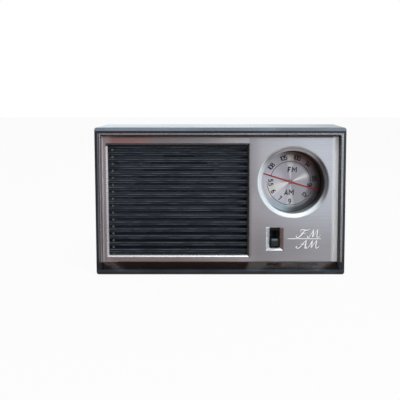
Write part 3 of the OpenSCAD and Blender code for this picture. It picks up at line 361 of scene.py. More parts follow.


# Aluminium brushed along its length, with a painted brown reflection to the left and a painted red reflection in
# its upper left corner, painted shade round the grille opening, along the opening and along the top, a painted
# pale reflection at its left end, a painted highlight on its left edge, and painted light at its right end.
def brushedPlate():
    p = plateFinish
    f = Finish("brushedPlate", p["cool"], Metallic=1.0, Roughness=0.34)
    lines = f.noise(p["lines"], p["along"], detail=3, roughness=0.6)
    fine = f.noise(p["fine"], p["along"], detail=1)
    wander = f.noise(14, detail=3)
    u, v, _ = f.faceSpot()
    tone = (lines * 0.6 + fine * 0.4).rise(0.3, 0.7)
    # Painted brown reflection, growing towards the left.
    leftReflection = (wander * 30 - u).rise(*p["leftReflectionSpan"])
    # Painted red reflection in the upper left corner.
    corner = (v * 0.8 - u + wander * 24).rise(*p["corner"])
    # Painted shade round the grille opening: to its lower right, along its right edge, beside its upper right and
    # above it, and along the plate's top.
    low = (v < p["lowShadeV"][1]) * u.rise(*p["lowShadeU"]) * v.fall(*p["lowShadeV"]) * 0.5
    edgeShade = (p["opening"] - u).rise(*p["edgeShadeIn"]) * (u > 22) * v.within(*p["edgeShadeAlong"]) * 0.55
    beside = (u > 22) * u.fall(*p["besideU"]) * v.rise(*p["besideV"]) * 0.6
    above = (v > 100) * u.rise(*p["aboveLeft"]) * u.fall(*p["aboveRight"]) * 0.65
    # Painted light at the plate's right end, made pale and hardly metallic so that it stays bright beside the
    # recess wall.
    rightEnd = u.rise(*p["rightEnd"])
    f.put("Base Color", f.layers(
        f.tint(tone, p["dim"], p["cool"]), (leftReflection * 0.8, p["warm"]), (corner * 0.7, p["red"]),
        (low, p["shade"]), (edgeShade | v.rise(*p["topEdgeShade"]) * 0.7, p["edgeShade"]), (beside | above, p["shade"]),
        # painted pale pink reflection at the left end
        ((-u).rise(*p["paleEnd"]) * 0.6, p["pale"]), (rightEnd, p["right"]),
        # painted highlight on the plate's very left edge
        (u < p["leftEdge"], p["bright"])))
    f.put("Metallic", 1 - rightEnd * 0.92)
    f.put("Roughness", tone * 0.1 + wander * 0.08 + p["roughness"])
    f.bump(lines * 0.6 + fine * 0.4, p["bump"], 0.00003)
    return f.mat


spun = dict(
    low=(0.38, 0.37, 0.40), high=(0.50, 0.49, 0.52), fanHighlight=(0.97, 0.97, 0.95), pale=(0.86, 0.82, 0.90),
    cool=(0.33, 0.47, 0.51), lipShadowColor=(0.05, 0.03, 0.026), brown=(0.15, 0.075, 0.055),
    rings=1500, fine=7000, depth=0.0003, bump=0.35, angle=21.0, coolAngle=-102, brownAngle=72,
    fan=(0.96, 0.998), fanCore=(0.992, 1.0), leftFan=(0.93, 0.995), rightEnd=(16.2, 17.5), fanEnd=(19.5, 22),
    faint=(0.975, 1.0), faintEnd=(19, 22), patch=(0.985, 0.998), patchStart=(16.8, 17.6), patchEnd=(21, 22.4),
    shadeAngle=28.0, shadeSpread=(0.0, 0.72), shadeInner=(13.2, 16.5), shadeOuter=(18, 23.5),
    lipShades=[(-48, (0.45, 0.9), (17.5, 22), 0.85), (75, (0.75, 0.97), (19, 23), 0.8)],
)


# Spun aluminium: fine rings about the dial's centre, with painted highlights in the shape of the bright fans that
# such rings show, drawn where the cosine of the angle to the fan's line nears one, painted pale light on the left
# half, a painted cyan reflection low on the outer band, and a painted brown shadow under the upper right lip.
def spunDisc():
    p = spun
    f = Finish("spunDisc", p["low"], Metallic=1.0)
    u, v, _ = f.faceSpot(dialU, dialV)
    radius = (u * u + v * v).math("SQRT") + 0.001

    def ringNoise(scale, detail):
        return f.node("ShaderNodeTexNoise", {"noise_dimensions": "1D"}, {
            "W": radius * mm, "Scale": scale, "Detail": detail})

    def toward(angle):
        a = math.radians(angle)
        return (u * math.cos(a) + v * math.sin(a)) / radius

    rings, fine = ringNoise(p["rings"], 3.0), ringNoise(p["fine"], 1.0)
    right, upright = toward(p["angle"]), abs(toward(90))
    # Painted highlights: the bright fans, a faint upright streak and a patch near the top, made less metallic so
    # that they stay bright.
    fanHighlight = abs(right).rise(*p["fan"]) * 0.4 + abs(right).rise(*p["fanCore"]) * 0.6
    fanHighlight = fanHighlight | (-right).rise(*p["leftFan"])
    fanHighlight = fanHighlight * (1 - radius.rise(*p["rightEnd"]) * (u > 0)) * radius.fall(*p["fanEnd"])
    faint = upright.rise(*p["faint"]) * 0.4 * radius.fall(*p["faintEnd"])
    patch = upright.rise(*p["patch"]) * (v > 0) * radius.rise(*p["patchStart"]) * radius.fall(*p["patchEnd"])
    glow = fanHighlight | faint | patch * 0.8
    # Painted shadow of the upper right lip on the disc, browner towards the top.
    shade = radius.rise(*p["shadeInner"]) * 0.6 + radius.rise(*p["shadeOuter"]) * 0.4
    shade = toward(p["shadeAngle"]).rise(*p["shadeSpread"]) * shade
    for angle, spread, reach, share in p["lipShades"]:
        shade = shade | toward(angle).rise(*spread) * radius.rise(*reach) * share
    f.put("Base Color", f.layers(
        # painted pale light on the left half, and a painted cyan reflection low on the outer band
        f.tint(fine, p["low"], p["high"]), ((-right).rise(0.1, 0.95) * radius.rise(2, 10) * 0.6, p["pale"]),
        (toward(p["coolAngle"]).rise(0.6, 0.95) * radius.rise(16.5, 20) * 0.6, p["cool"]),
        (glow * (0.85 + rings * 0.3), p["fanHighlight"]),
        (shade * 0.95, f.tint(toward(p["brownAngle"]).rise(0.7, 0.95), p["lipShadowColor"], p["brown"]))))
    f.put("Metallic", 1 - glow * 0.85)
    f.put("Roughness", fine * 0.1 + 0.26)
    f.bump(rings * 0.7 + fine * 0.3, p["bump"], p["depth"])
    return f.mat


well = dict(
    dark=(0.008, 0.007, 0.006), pale=(0.24, 0.29, 0.29), brown=(0.10, 0.06, 0.05),
    foot=(10, 22), head=(12, 24),
)


# The dial's well: dark paint, with painted light along its foot and a painted brown shade under its top.
def wellPaint():
    f = Finish("wellPaint", well["dark"], Roughness=0.4)
    u, v, _ = f.faceSpot(dialU, dialV)
    wander = f.noise(120, detail=3)
    # Painted light along the well's foot, and painted brown shade under its top.
    foot = (wander * 4 - v - abs(u) * 0.3).rise(*well["foot"])
    head = (v + wander * 4).rise(*well["head"])
    f.put("Base Color", f.layers(well["dark"], (foot, well["pale"]), (head * 0.6, well["brown"])))
    f.put("Roughness", wander * 0.2 + 0.3)
    f.grain(2200, 0.1)
    return f.mat


ringTone = dict(
    bright=(0.81, 0.90, 0.95), dark=(0.33, 0.335, 0.36), shadedTopTone=(0.42, 0.42, 0.44), angle=232.0,
    lowLeft=(-0.35, 0.35), head=(0.55, 0.92), line=(0.03, 0.03, 0.03), lineInside=(26.0, 26.25),
    lineOutside=(26.3, 26.6),
)


# The dial's ring: painted a lit white on its lower left, painted a dull grey shade at its top and dark at its
# right, where a fine dark line of painted shade runs between its two steps.
def turnedRing():
    p = ringTone
    f = Finish("turnedRing", p["bright"], Roughness=0.35)
    u, v, _ = f.faceSpot(dialU, dialV)
    radius = (u * u + v * v).math("SQRT")
    a = math.radians(p["angle"])
    # Painted light: a lit white lower left, made less metallic; and painted shade at the top and on the line
    # between the steps.
    lowLeft = ((u * math.cos(a) + v * math.sin(a)) / radius).rise(*p["lowLeft"])
    head = (v / radius).rise(*p["head"])
    line = radius.rise(*p["lineInside"]) * radius.fall(*p["lineOutside"]) * (1 - lowLeft)
    grain = f.noise(900, detail=3)
    f.put("Base Color", f.layers(
        f.tint(lowLeft, p["dark"], p["bright"]), (head, p["shadedTopTone"]), (line * 0.7, p["line"]),
        (grain * 0.2, scaled(p["shadedTopTone"], 0.8))))
    f.put("Metallic", (1 - lowLeft * 0.75) * (1 - head * 0.8))
    f.put("Roughness", grain * 0.15 + 0.25)
    f.bump(grain, 0.1, 0.00002)
    return f.mat


bevel = dict(
    outer=(-88.1, 22.2, 12.4, 100.1), plate=-8.0, width=1.35, fall=1.3, depth=3.6, lip=0.25, proud=0.03,
    edges=[0, 0.2, 0.25, 0, 0],
)
plating = dict(
    pale=(0.70, 0.72, 0.74), mean=(0.66, 0.67, 0.69), hole=(0.003, 0.003, 0.003), brown=(0.36, 0.27, 0.265),
    shaded=(0.10, 0.09, 0.09), under=(0.40, 0.425, 0.43), left=(0.80, 0.88, 0.96),
    surround=(34, 50, 16, 36), slot=(38.2, 46.2, 19.4, 33.0), throat=-9.6, shadedSpan=(-2.2, -1.9),
)


# Plated metal round the grille and the band switch: painted black shade in the switch's throat and over its slot,
# a painted highlight on the switch's left, painted shade under the slot, a painted brown reflection on the
# switch's right, and painted shade on the grille's right and top.
def platedSurround():
    p = plating
    f = Finish("brightSurround", p["pale"])
    u, v, w = f.faceSpot()
    left, right, low, high = p["surround"]
    u0, u1, v0, v1 = p["slot"]
    here = u.within(left, right) * v.within(low, high)
    # Painted black shade in the switch's throat and over its slot.
    over = (v > v1 - 0.1) * u.within(u0 - 0.1, u1 + 0.1) * here
    blacked = (w < p["throat"]) * here | over
    lines = f.noise(900, detail=3)
    outerRight, outerLow, outerHigh = bevel["outer"][1:]
    shaded = (
        (u - outerRight).rise(*p["shadedSpan"]) * (v > outerLow + outerRight - u)
        | (v - outerHigh).rise(*p["shadedSpan"]) * (u < outerHigh + outerRight - v - 0.5))
    f.put("Base Color", f.layers(
        # a painted highlight on the switch's left, painted shade under the slot, a painted brown reflection on its
        # right, and painted shade on the grille's right and top
        f.tint(lines, p["mean"], p["pale"]), ((u < u0) * here, p["left"]),
        ((v < v0) * (v - u < v0 - u0) * here, p["under"]),
        ((u > u1) * here * (v > v0 - (u - u1) * 0.9), p["brown"]),
        (shaded * (1 - (u > left) * (v < 60)), p["shaded"]), (blacked, p["hole"])))
    f.put("Metallic", (1 - blacked) * 0.8)
    f.put("Roughness", lines * 0.08 + blacked * 0.4 + 0.24)
    return f.mat


slatLightAndShade = dict(
    start=14.8, pitch=5.42, top=(2.5, 2.85, 3.2), middle=(0.9, 1.25, 1.6), color=(0.15, 0.175, 0.215),
    head=(3.1, 3.4), foot=(0.2, 0.9), shadow=(0.014, 0.016, 0.021), dark=(0.002, 0.0025, 0.003), end=(8, 19),
    dust=(0.15, 0.17, 0.21), deep=(11.4, 12.6), gapLightRise=(22, 62),
)


# The slats' satin plastic: two fine painted highlight lines along each, a painted shadow on each sloping top,
# painted light deep in the gaps and painted shade towards the right ends, with scuffs and dust specks.
def satinLouvres():
    p, color = slatLightAndShade, black["slats"]
    f = Finish("satinLouvres", color)
    u, v, w = f.faceSpot()
    along = ((v - p["start"]) / p["pitch"]).math("FRACT") * p["pitch"]
    highlightNoise = f.noise(70, (1, 0.2, 6), detail=4, roughness=0.65)
    other = f.noise(55, (1, 0.2, 6), detail=4, roughness=0.65, turn=(0.4, 0, 0))
    scuffs = f.noise(260, (0.25, 1, 1), detail=3, roughness=0.6).rise(0.6, 0.75)
    wander, specks, head = f.wander(), f.specks(), along.rise(*p["head"])

    def line(low, middle, high):
        return along.rise(low, middle) * along.fall(middle, high)

    # Painted highlights: two fine lines along each slat, broken up by noise.
    paintedHighlightLines = line(*p["top"]) * (highlightNoise.rise(0.38, 0.6) * 0.75 + 0.25)
    paintedHighlightLines = paintedHighlightLines + line(*p["middle"]) * (other.rise(0.42, 0.62) * 0.6 + 0.15)
    # Painted light deep in the gaps, growing towards the top.
    deep = (-w).rise(*p["deep"]) * (v.rise(*p["gapLightRise"]) * 0.8 + 0.1)
    # Painted shade towards the right ends, on the sloping tops and feet of the slats.
    dim = u.rise(*p["end"]) * (head + along.fall(*p["foot"]))
    f.put("Base Color", f.layers(
        f.tint(wander, scaled(color, 0.8), scaled(color, 1.2)), (scuffs * 0.12, p["color"]),
        (paintedHighlightLines, p["color"]), (head * 0.9, p["shadow"]), (deep, p["dust"]), (specks * 0.5, dustColor),
        (dim * 0.85, p["dark"])))
    f.put("Roughness", wander * 0.08 + specks * 0.2 + 0.5)
    f.put("Specular IOR Level", 0.12)
    f.grain(2600, 0.2)
    return f.mat


buttonFinish = dict(
    black=(0.012, 0.014, 0.017), paintedHighlight=(0.105, 0.15, 0.185), raised=0.6, foot=(-0.1, 1.5), head=(2.2, 3.1),
    side=(1.6, 2.6), front=-9.6,
)


# The button's black plastic, with a painted blue grey highlight on the upper half of its front.
def highlightedButton():
    p = buttonFinish
    f = Finish("highlightedButton", p["black"])
    low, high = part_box("band_switch_button")
    u0, v0, _ = toFace((np.array(low) + np.array(high)) / 2)
    u, v, w = f.faceSpot(u0, v0 + p["raised"])
    # Painted blue grey highlight on the upper half of the front.
    highlightMask = v.rise(*p["foot"]) * v.fall(*p["head"]) * abs(u).fall(*p["side"]) * (w > p["front"])
    grain = f.noise(900, detail=3)
    f.put("Base Color", f.tint(highlightMask * (0.7 + grain * 0.5), p["black"], p["paintedHighlight"]))
    f.put("Roughness", grain * 0.1 + 0.25)
    f.grain(2600, 0.1)
    return f.mat


materials = {
    "cabinet_black": polishedCabinet(),
    "cover_black": plastic("grainedBlack", black["grained"], 0.48, grain=0.5, grainSize=1500, dust=0.3),
    "brushed_plate": brushedPlate(),
    "bright_trim": drawnTrim(),
    "louvre_black": satinLouvres(),
    "baffle": plastic("baffleBoard", (0.20, 0.22, 0.26), 0.9),
    "bright_ring": turnedRing(),
    "well_black": wellPaint(),
    "spun_disc": spunDisc(),
    "needle_red": plastic("needleRed", (0.62, 0.02, 0.035), 0.3, grain=0.02),
    "steel": metal("plainSteel", (0.52, 0.52, 0.54), 0.35),
    "ivory_plastic": plastic("ivoryWheels", (0.76, 0.71, 0.58), 0.42),
    "clear_case": plastic("milkyCase", (0.68, 0.67, 0.62), 0.3),
    "cord": plastic("waxedCord", (0.6, 0.54, 0.38), 0.7, grain=0.8, grainSize=900),
    "knob_black": plastic("knobBlack", (0.024, 0.025, 0.028), 0.3, grain=0.08, dust=0.2),
    "bracket_steel": metal("zincPlate", (0.55, 0.55, 0.53), 0.4),
    "bright_surround": platedSurround(),
    "button_black": highlightedButton(),
    "cone_paper": plastic("conePaper", (0.05, 0.045, 0.04), 0.9, grain=0.8, grainSize=700),
    "magnet": plastic("magnetGrey", (0.1, 0.1, 0.105), 0.5),
    "board": plastic("varnishedBoard", (0.36, 0.2, 0.08), 0.4),
    "can_metal": metal("drawnCans", (0.7, 0.71, 0.73), 0.3),
    "component_black": plastic("componentBlack", (0.035, 0.035, 0.035), 0.45),
    "capacitor_sleeve": plastic("blueSleeve", (0.06, 0.13, 0.33), 0.3),
    "transformer_core": plastic("varnishedStack", (0.16, 0.12, 0.09), 0.5),
    "ferrite": plastic("ferriteRod", (0.05, 0.047, 0.047), 0.55),
    "coil_copper": metal("woundWire", (0.55, 0.26, 0.1), 0.35, stretch=(12, 1, 1)),
    "cell_jacket": plastic("cellJacket", (0.5, 0.33, 0.1), 0.35),
    "contact_metal": metal("nickelContacts", (0.68, 0.67, 0.64), 0.25),
    "door_black": plastic("grainedDoor", black["grained"], 0.48, grain=0.5, grainSize=1500, dust=0.3),
    "jack_metal": metal("nickelJack", (0.7, 0.69, 0.66), 0.22),
    "whip_chrome": metal("chromeTube", (0.8, 0.8, 0.82), 0.1, stretch=(0.02, 1, 1), bump=0.04),
    "foot_rubber": plastic("rubberFeet", (0.02, 0.02, 0.02), 0.8, grain=0.5, grainSize=1200),
}
printBlack = plastic("printBlack", (0.008, 0.009, 0.013), 0.6, grain=0.02)
paintWhite = plastic("paintWhite", (0.9, 0.91, 0.93), 0.35, grain=0.03)
shadeGrey = plastic("shadeGrey", (0.13, 0.125, 0.135), 0.6, grain=0.02)
slotOf = {s["node"]: s["material_slot"] for s in frame["record"]["subparts"]}
phenolic = plastic("phenolicBoard", (0.006, 0.006, 0.006), 0.7)
for name, node in frame["nodes"].items():
    node.data.materials.clear()
    node.data.materials.append(phenolic if name == "band_switch_body" else materials[slotOf[name]])
print("materials made:", len(materials))


# A new piece: points in metres and faces as rows of numbers, with doubles merged and faces turned outwards.
def addPiece(name, shape, slot, body="radio", stands=(), finish=None, sharp=38):
    points, faces = shape
    data = bpy.data.meshes.new(name)
    data.from_pydata(points.reshape(-1, 3).tolist(), [], [list(map(int, f)) for f in faces])
    form = bmesh.new()
    form.from_mesh(data)
    bmesh.ops.remove_doubles(form, verts=form.verts, dist=1e-7)
    bmesh.ops.recalc_face_normals(form, faces=form.faces)
    form.to_mesh(data)
    form.free()
    return dress(name, data, slot, body, stands, finish, sharp)


# A mesh becomes a piece: shaded smooth up to an angle, with its finish, body, slot and replaced nodes.
def dress(name, data, slot, body, stands, finish, sharp):
    data.shade_smooth()
    data.set_sharp_from_angle(angle=math.radians(sharp))
    data.materials.append(finish or materials[slot])
    piece = bpy.data.objects.new(name, data)
    bpy.context.scene.collection.objects.link(piece)
    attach(piece, body)
    if stands:
        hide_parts(*stands)
    return piece


# Faces of a grid of points: each row closes on itself, and where asked the last row joins the first.
def gridFaces(rows, columns, closeRows=False):
    i, j = np.meshgrid(np.arange(rows if closeRows else rows - 1), np.arange(columns), indexing="ij")
    below, beside = (i + 1) % rows, (j + 1) % columns
    corners = [i * columns + j, i * columns + beside, below * columns + beside, below * columns + j]
    return np.stack(corners, -1).reshape(-1, 4)


# The same, with the first and the last row filled by one face each.
def tubeFaces(rows, columns):
    last = rows * columns - 1
    return [*gridFaces(rows, columns), range(columns), range(last, last - columns, -1)]


# Corners rounded: each one becomes the curve (1-t)^2 start + 2t(1-t) corner + t^2 end, which starts
# and ends at the corner's own reach along its two edges.
def rounded(corners, reach, steps=4):
    corners = np.asarray(corners, float)
    reach = np.broadcast_to(np.asarray(reach, float), len(corners))[:, None]
    before, after = np.roll(corners, 1, 0) - corners, np.roll(corners, -1, 0) - corners
    start = corners + reach * before / np.linalg.norm(before, axis=1, keepdims=True)
    end = corners + reach * after / np.linalg.norm(after, axis=1, keepdims=True)
    t = np.linspace(0, 1, steps + 1)[None, :, None]
    curve = (1 - t) ** 2 * start[:, None] + 2 * t * (1 - t) * corners[:, None] + t ** 2 * end[:, None]
    return curve.reshape(-1, 2)


# A rounded rectangle from a0 to a1 across and from b0 to b1 up.
def roundedBox(a0, a1, b0, b1, reach):
    return rounded([(a0, b0), (a1, b0), (a1, b1), (a0, b1)], reach)


# A closed profile of radius and height turned about an axis: r cos a and r sin a across, height along.
def lathe(profile, place, sides=96, ripple=None):
    profile = np.asarray(profile, float)
    turn = np.linspace(0, 2 * np.pi, sides, endpoint=False)
    radius = np.repeat(profile[:, :1], sides, axis=1)
    height = np.repeat(profile[:, 1:], sides, axis=1)
    if ripple:
        radius, height = ripple(radius, height, turn[None, :])
    return place(radius * np.cos(turn), radius * np.sin(turn), height), gridFaces(len(profile), sides, True)


# A closed profile carried straight along, with both ends filled.
def bar(profile, place, start, end):
    a, b = profile[:, 0], profile[:, 1]
    points = np.concatenate([place(a, b, start + 0 * a), place(a, b, end + 0 * a)])
    return points, tubeFaces(2, len(profile))


# A closed profile of inset and depth carried round a rectangle's four corners. Up and down, the inset
# counts by the factor upright.
def frameRound(profile, outer, upright=1.0):
    u0, u1, v0, v1 = outer
    corners = np.array([(u0, v0, 1, 1), (u1, v0, -1, 1), (u1, v1, -1, -1), (u0, v1, 1, -1)], float)
    u = corners[:, :1] + corners[:, 2:3] * profile[None, :, 0]
    v = corners[:, 1:2] + corners[:, 3:] * profile[None, :, 0] * upright
    return onFace(u, v, np.repeat(profile[None, :, 1], 4, axis=0)), gridFaces(4, len(profile), True)


# Several shapes made one, with the faces of each counted on from the points before it.
def join(parts):
    points, faces, first = [], [], 0
    for p, f in parts:
        points.append(p.reshape(-1, 3))
        faces += [[first + k for k in row] for row in f]
        first += len(points[-1])
    return np.concatenate(points), faces


# The nodes that keep their CAD shape and get soft edges: node, width of the edge and body.
soft = dict(
    merge=0.00004, flat=0.6, sharp=35, segments=3,
    pieces=[("plate_trim", 0.4, "radio"), ("switch_surround", 0.2, "radio"),
            ("band_switch_button", 0.3, "band_switch"), ("battery_door", 0.25, "battery_door"),
            ("whip_swivel", 0.4, "whip")],
)


# A copy of a CAD node: its doubles merged, its flat triangles joined, and its sharp edges rounded.
def softened(node, width, body):
    p = soft
    form = bmesh.new()
    form.from_mesh(frame["nodes"][node].data)
    bmesh.ops.remove_doubles(form, verts=form.verts, dist=p["merge"])
    bmesh.ops.dissolve_limit(form, angle_limit=math.radians(p["flat"]), verts=form.verts, edges=form.edges)
    weights = form.edges.layers.float.new("bevel_weight_edge")
    for e in form.edges:
        if len(e.link_faces) == 2 and e.calc_face_angle() > math.radians(p["sharp"]):
            e[weights] = 1.0
    data = bpy.data.meshes.new(node + "_form")
    form.to_mesh(data)
    form.free()
    piece = dress(node + "_form", data, slotOf[node], body, (node,), None, p["sharp"])
    edge = piece.modifiers.new("softEdges", "BEVEL")
    edge.width = width * mm
    edge.segments = p["segments"]
    edge.limit_method = "WEIGHT"
    edge.harden_normals = True


for softPiece in soft["pieces"]:
    softened(*softPiece)
print("soft edges made")

# Louvre panel: a frame and sixteen slats. A slat's front has a rounded foot, a fine step and a rounded top.
louvres = dict(
    count=16, start=14.8, pitch=5.42, height=3.6, front=-10.9, depth=3.6, slope=1.4, step=2.3, stepBack=0.3,
    stepSlope=0.15, slatEdges=[0.45, 0.14, 0.1, 0.55, 0, 0],
    left=-86.8, right=20.9, low=13.6, high=98.9, sink=0.4, inside=0.1,
    outer=(-90.2, 24.3, 10.5, 102.0), frameFront=-11.6, frameBack=-15.6, frameEdges=[0.2, 0.2, 0.5, 0.2],
)


def makeLouvres():
    p = louvres
    front, back, step = p["front"], p["front"] - p["depth"], p["front"] - p["stepBack"]
    slat = rounded(
        [(0, front), (p["step"], front), (p["step"] + p["stepSlope"], step), (p["height"], step),
         (p["height"] + p["slope"], back), (p["slope"], back)], p["slatEdges"])
    low, high = p["low"] + p["inside"], p["high"] - p["inside"]
    parts = []
    for i in range(p["count"]):
        foot = p["start"] + i * p["pitch"]
        place = lambda v, w, u: onFace(u, np.clip(foot + v, low, high), w)
        parts.append(bar(slat, place, p["left"] - p["sink"], p["right"] + p["sink"]))
    inset, rise = p["left"] - p["outer"][0], p["low"] - p["outer"][2]
    front, back = p["frameFront"], p["frameBack"]
    profile = rounded([(0, back), (0, front), (inset, front), (inset, back)], p["frameEdges"])
    parts.append(frameRound(profile, p["outer"], rise / inset))
    addPiece("louvre_panel", join(parts), "louvre_black", stands=("grille_louvres",))


# The strip that ties the slats near their left ends; its pale colour is painted light, seen as a lit spot in each
# gap.
tie = dict(
    left=-84.6, right=-83.2, front=-12.3, back=-13.4, low=14.0, high=98.5, round=0.3,
    color=(0.22, 0.21, 0.165),
)


def makeTie():
    p = tie
    strip = bar(roundedBox(p["left"], p["right"], p["back"], p["front"], p["round"]),
                lambda a, b, v: onFace(a, v, b), p["low"], p["high"])
    # The strip's pale colour is painted light on the gaps' left ends.
    addPiece("slat_tie", strip, "louvre_black", finish=plastic("tieStrip", p["color"], 0.5))


# Bevel round the grille opening: a slope of a rounded start that turns from the plate's face into the
# opening, and a straight wall below it.
def makeBevel():
    p = bevel
    face, foot, back = p["plate"] + p["proud"], p["plate"] - p["fall"], p["plate"] - p["depth"]
    lip, width = -p["lip"], p["width"]
    profile = rounded([(lip, face), (0, face), (width, foot), (width, back), (lip, back)], p["edges"])
    shape = frameRound(profile, p["outer"])
    addPiece("grille_bevel", shape, "brushed_plate", finish=materials["bright_surround"])


makeLouvres()
makeTie()
makeBevel()
print("grille made")


# A place about the dial's axis: across, up and out of the face, in millimetres.
def onDial(a, b, w):
    return onFace(dialU + a, dialV + b, w)


dial = dict(
    ringOuter=27.9, ringLip=27.2, wellRadius=24.3, lipW=-7.5, plateW=-8.0, fall=0.8, ringBack=-12.2,
    lipDrop=0.1, footOut=0.4, footDrop=0.5, rim=1, seatRadius=26.4, seatW=-9.8,
    ringEdges=[0.05, 0.12, 0.3, 0.3, 0.25, 0.1, 0.1, 0.1, 0.1],
    discRadius=24.2, discFront=-30.0, discThick=0.8, hole=1.55, dish=0.1, dishEnd=0.6,
    beadWidth=0.4, beadHeight=0.05, beadDrop=0.1,
    upperCircle=16.3, lowerCircle=18.7, lineWidth=0.42, inkThick=0.03, inkSink=0.02,
    numberHeight=3.4, numberStroke=0.72, numberRadius=19.8, amRadius=15.7, wordStroke=0.95,
    fmNumbers={"88": 7.5, "94": 45, "100": 75, "105": 107, "108": 142},
    amNumbers={"5.5": 182, "6": -150, "7": -122, "9": -91.5, "12": -43, "16": -11},
    fmWord=(1.5, 9.6), amWord=(-0.9, -8.6), wordHeight=4.0, sides=160,
)


# The ring: a low outer lip, a slope down to the well, a straight bore, and a seat behind the plate.
def makeRing():
    p = dial
    outer, inner, seat, back = p["ringOuter"], p["wellRadius"], p["seatRadius"], p["ringBack"]
    low, drop = p["plateW"] - p["fall"], p["lipDrop"]
    profile = rounded(
        [(outer, p["plateW"]), (outer - drop, p["lipW"] - drop), (p["ringLip"], p["lipW"]),
         (inner + p["footOut"], low), (inner, low - p["footDrop"]), (inner, back), (inner + p["rim"], back),
         (seat, p["seatW"]), (seat, p["plateW"])], p["ringEdges"])
    addPiece("ring_form", lathe(profile, onDial, p["sides"]), "bright_ring", stands=("dial_ring",))


# The disc has a fine bead at its rim, and a shallow dish whose depth goes with the cosine of the radius.
def makeDisc():
    p = dial
    edge, front, back = p["discRadius"], p["discFront"], p["discFront"] - p["discThick"]
    r = np.concatenate([[p["hole"]], np.linspace(p["hole"] + 0.1, edge - p["dishEnd"], 20)])
    top = np.stack([r, front - p["dish"] * np.cos(np.pi / 2 * r / edge)], -1)
    rim = [(edge - p["beadWidth"], front + p["beadHeight"]), (edge, front - p["beadDrop"]), (edge, back),
           (p["hole"], back)]
    disc = lathe(np.concatenate([top, rim]), onDial, p["sides"])
    addPiece("disc_form", disc, "spun_disc", stands=("dial_disc",))


# Lettering drawn as strokes, on a grid 4 high and 2 wide, apart from the widths below: each stroke is a
# run of points.
strokes = {
    "0": [[(0.6, 0), (0, 0.7), (0, 3.3), (0.6, 4), (1.4, 4), (2, 3.3), (2, 0.7), (1.4, 0), (0.6, 0)]],
    "1": [[(0.5, 3.3), (1.1, 4), (1.1, 0)]],
    "2": [[(0, 3.1), (0.5, 4), (1.5, 4), (2, 3.2), (1.9, 2.4), (0, 0), (2, 0)]],
    "4": [[(1.5, 0), (1.5, 4), (0, 1.1), (2.1, 1.1)]],
    "5": [[(1.9, 4), (0.3, 4), (0.1, 2.3), (1.3, 2.5), (2, 1.8), (2, 0.7), (1.4, 0), (0.5, 0), (0, 0.5)]],
    "6": [[(1.8, 3.7), (1.2, 4), (0.5, 3.7), (0, 2.4), (0, 0.8), (0.6, 0), (1.4, 0), (2, 0.7), (2, 1.6),
           (1.4, 2.3), (0.6, 2.3), (0, 1.7)]],
    "7": [[(0, 4), (2, 4), (0.8, 0)]],
    "8": [[(0.6, 2.1), (0.1, 2.8), (0.1, 3.4), (0.6, 4), (1.4, 4), (1.9, 3.4), (1.9, 2.8), (1.4, 2.1),
           (0.6, 2.1), (0, 1.4), (0, 0.6), (0.6, 0), (1.4, 0), (2, 0.6), (2, 1.4), (1.4, 2.1)]],
    "9": [[(0.2, 0.3), (0.8, 0), (1.5, 0.3), (2, 1.6), (2, 3.2), (1.4, 4), (0.6, 4), (0, 3.3), (0, 2.4),
           (0.6, 1.7), (1.4, 1.7), (2, 2.3)]],
    ".": [[(0.2, 0), (0.2, 0.3)]],
    "F": [[(0.1, 0), (0.1, 4), (2, 4)], [(0.1, 2.1), (1.6, 2.1)]],
    "A": [[(0, 0), (1.1, 4), (2.2, 0)], [(0.45, 1.3), (1.75, 1.3)]],
    "M": [[(0, 0), (0, 4), (1.6, 1.7), (3.2, 4), (3.2, 0)]],
}
widths = {"1": 1.3, ".": 0.4, "M": 3.2, "A": 2.2}


# A ribbon of ink or metal along a run of points, its corners mitred, its width given at each point.
def ribbon(points, width, low, high, spot):
    points = np.asarray(points, float)
    width = np.broadcast_to(np.asarray(width, float), len(points))[:, None]
    step = np.diff(points, axis=0)
    step /= np.linalg.norm(step, axis=1, keepdims=True) + 1e-12
    before, after = np.vstack([step[:1], step]), np.vstack([step, step[-1:]])
    tangent = before + after
    tangent /= np.linalg.norm(tangent, axis=1, keepdims=True) + 1e-12
    reach = 1 / np.clip(np.sum(tangent * after, axis=1, keepdims=True), 0.55, 1)
    normal = np.stack([-tangent[:, 1], tangent[:, 0]], -1) * width / 2 * reach
    left, right = points + normal, points - normal
    u = np.stack([left[:, 0], right[:, 0], right[:, 0], left[:, 0]], -1)
    v = np.stack([left[:, 1], right[:, 1], right[:, 1], left[:, 1]], -1)
    h = np.array([low, low, high, high]) + 0 * u
    return spot(u, v, h), tubeFaces(len(points), 4)


# A word of strokes of a given height and stroke width, slanted, turned by an angle and set on the dial.
def strokeWord(word, height, width, u, v, turn, low, high, gap=0.55, slant=0.0, squeeze=1.0):
    size = height / 4
    start, parts, total = 0.0, [], sum(widths.get(c, 2.0) + gap / size for c in word) - gap / size
    c, s = math.cos(turn), math.sin(turn)
    for k, letter in enumerate(word):
        for run in strokes[letter]:
            run = np.asarray(run, float)
            x = (run[:, 0] + start - total / 2) * size * squeeze + slant * (run[:, 1] - 2) * size
            y = (run[:, 1] - 2) * size
            placed = np.stack([u + x * c - y * s, v + x * s + y * c], -1)
            parts.append(ribbon(placed, width, low, high + 0.002 * k, onDial))
        start += widths.get(letter, 2.0) + gap / size
    return parts


# A flat arc of ink between two angles.
def inkArc(radius, width, start, end, w, steps=72):
    a = np.radians(np.linspace(start, end, steps))[:, None]
    r = radius + width * np.array([-0.5, 0.5, 0.5, -0.5])[None, :]
    h = w + dial["inkThick"] * np.array([0, 0, 1, 1])[None, :] + 0 * a
    return onDial(r * np.cos(a), r * np.sin(a), h), tubeFaces(steps, 4)


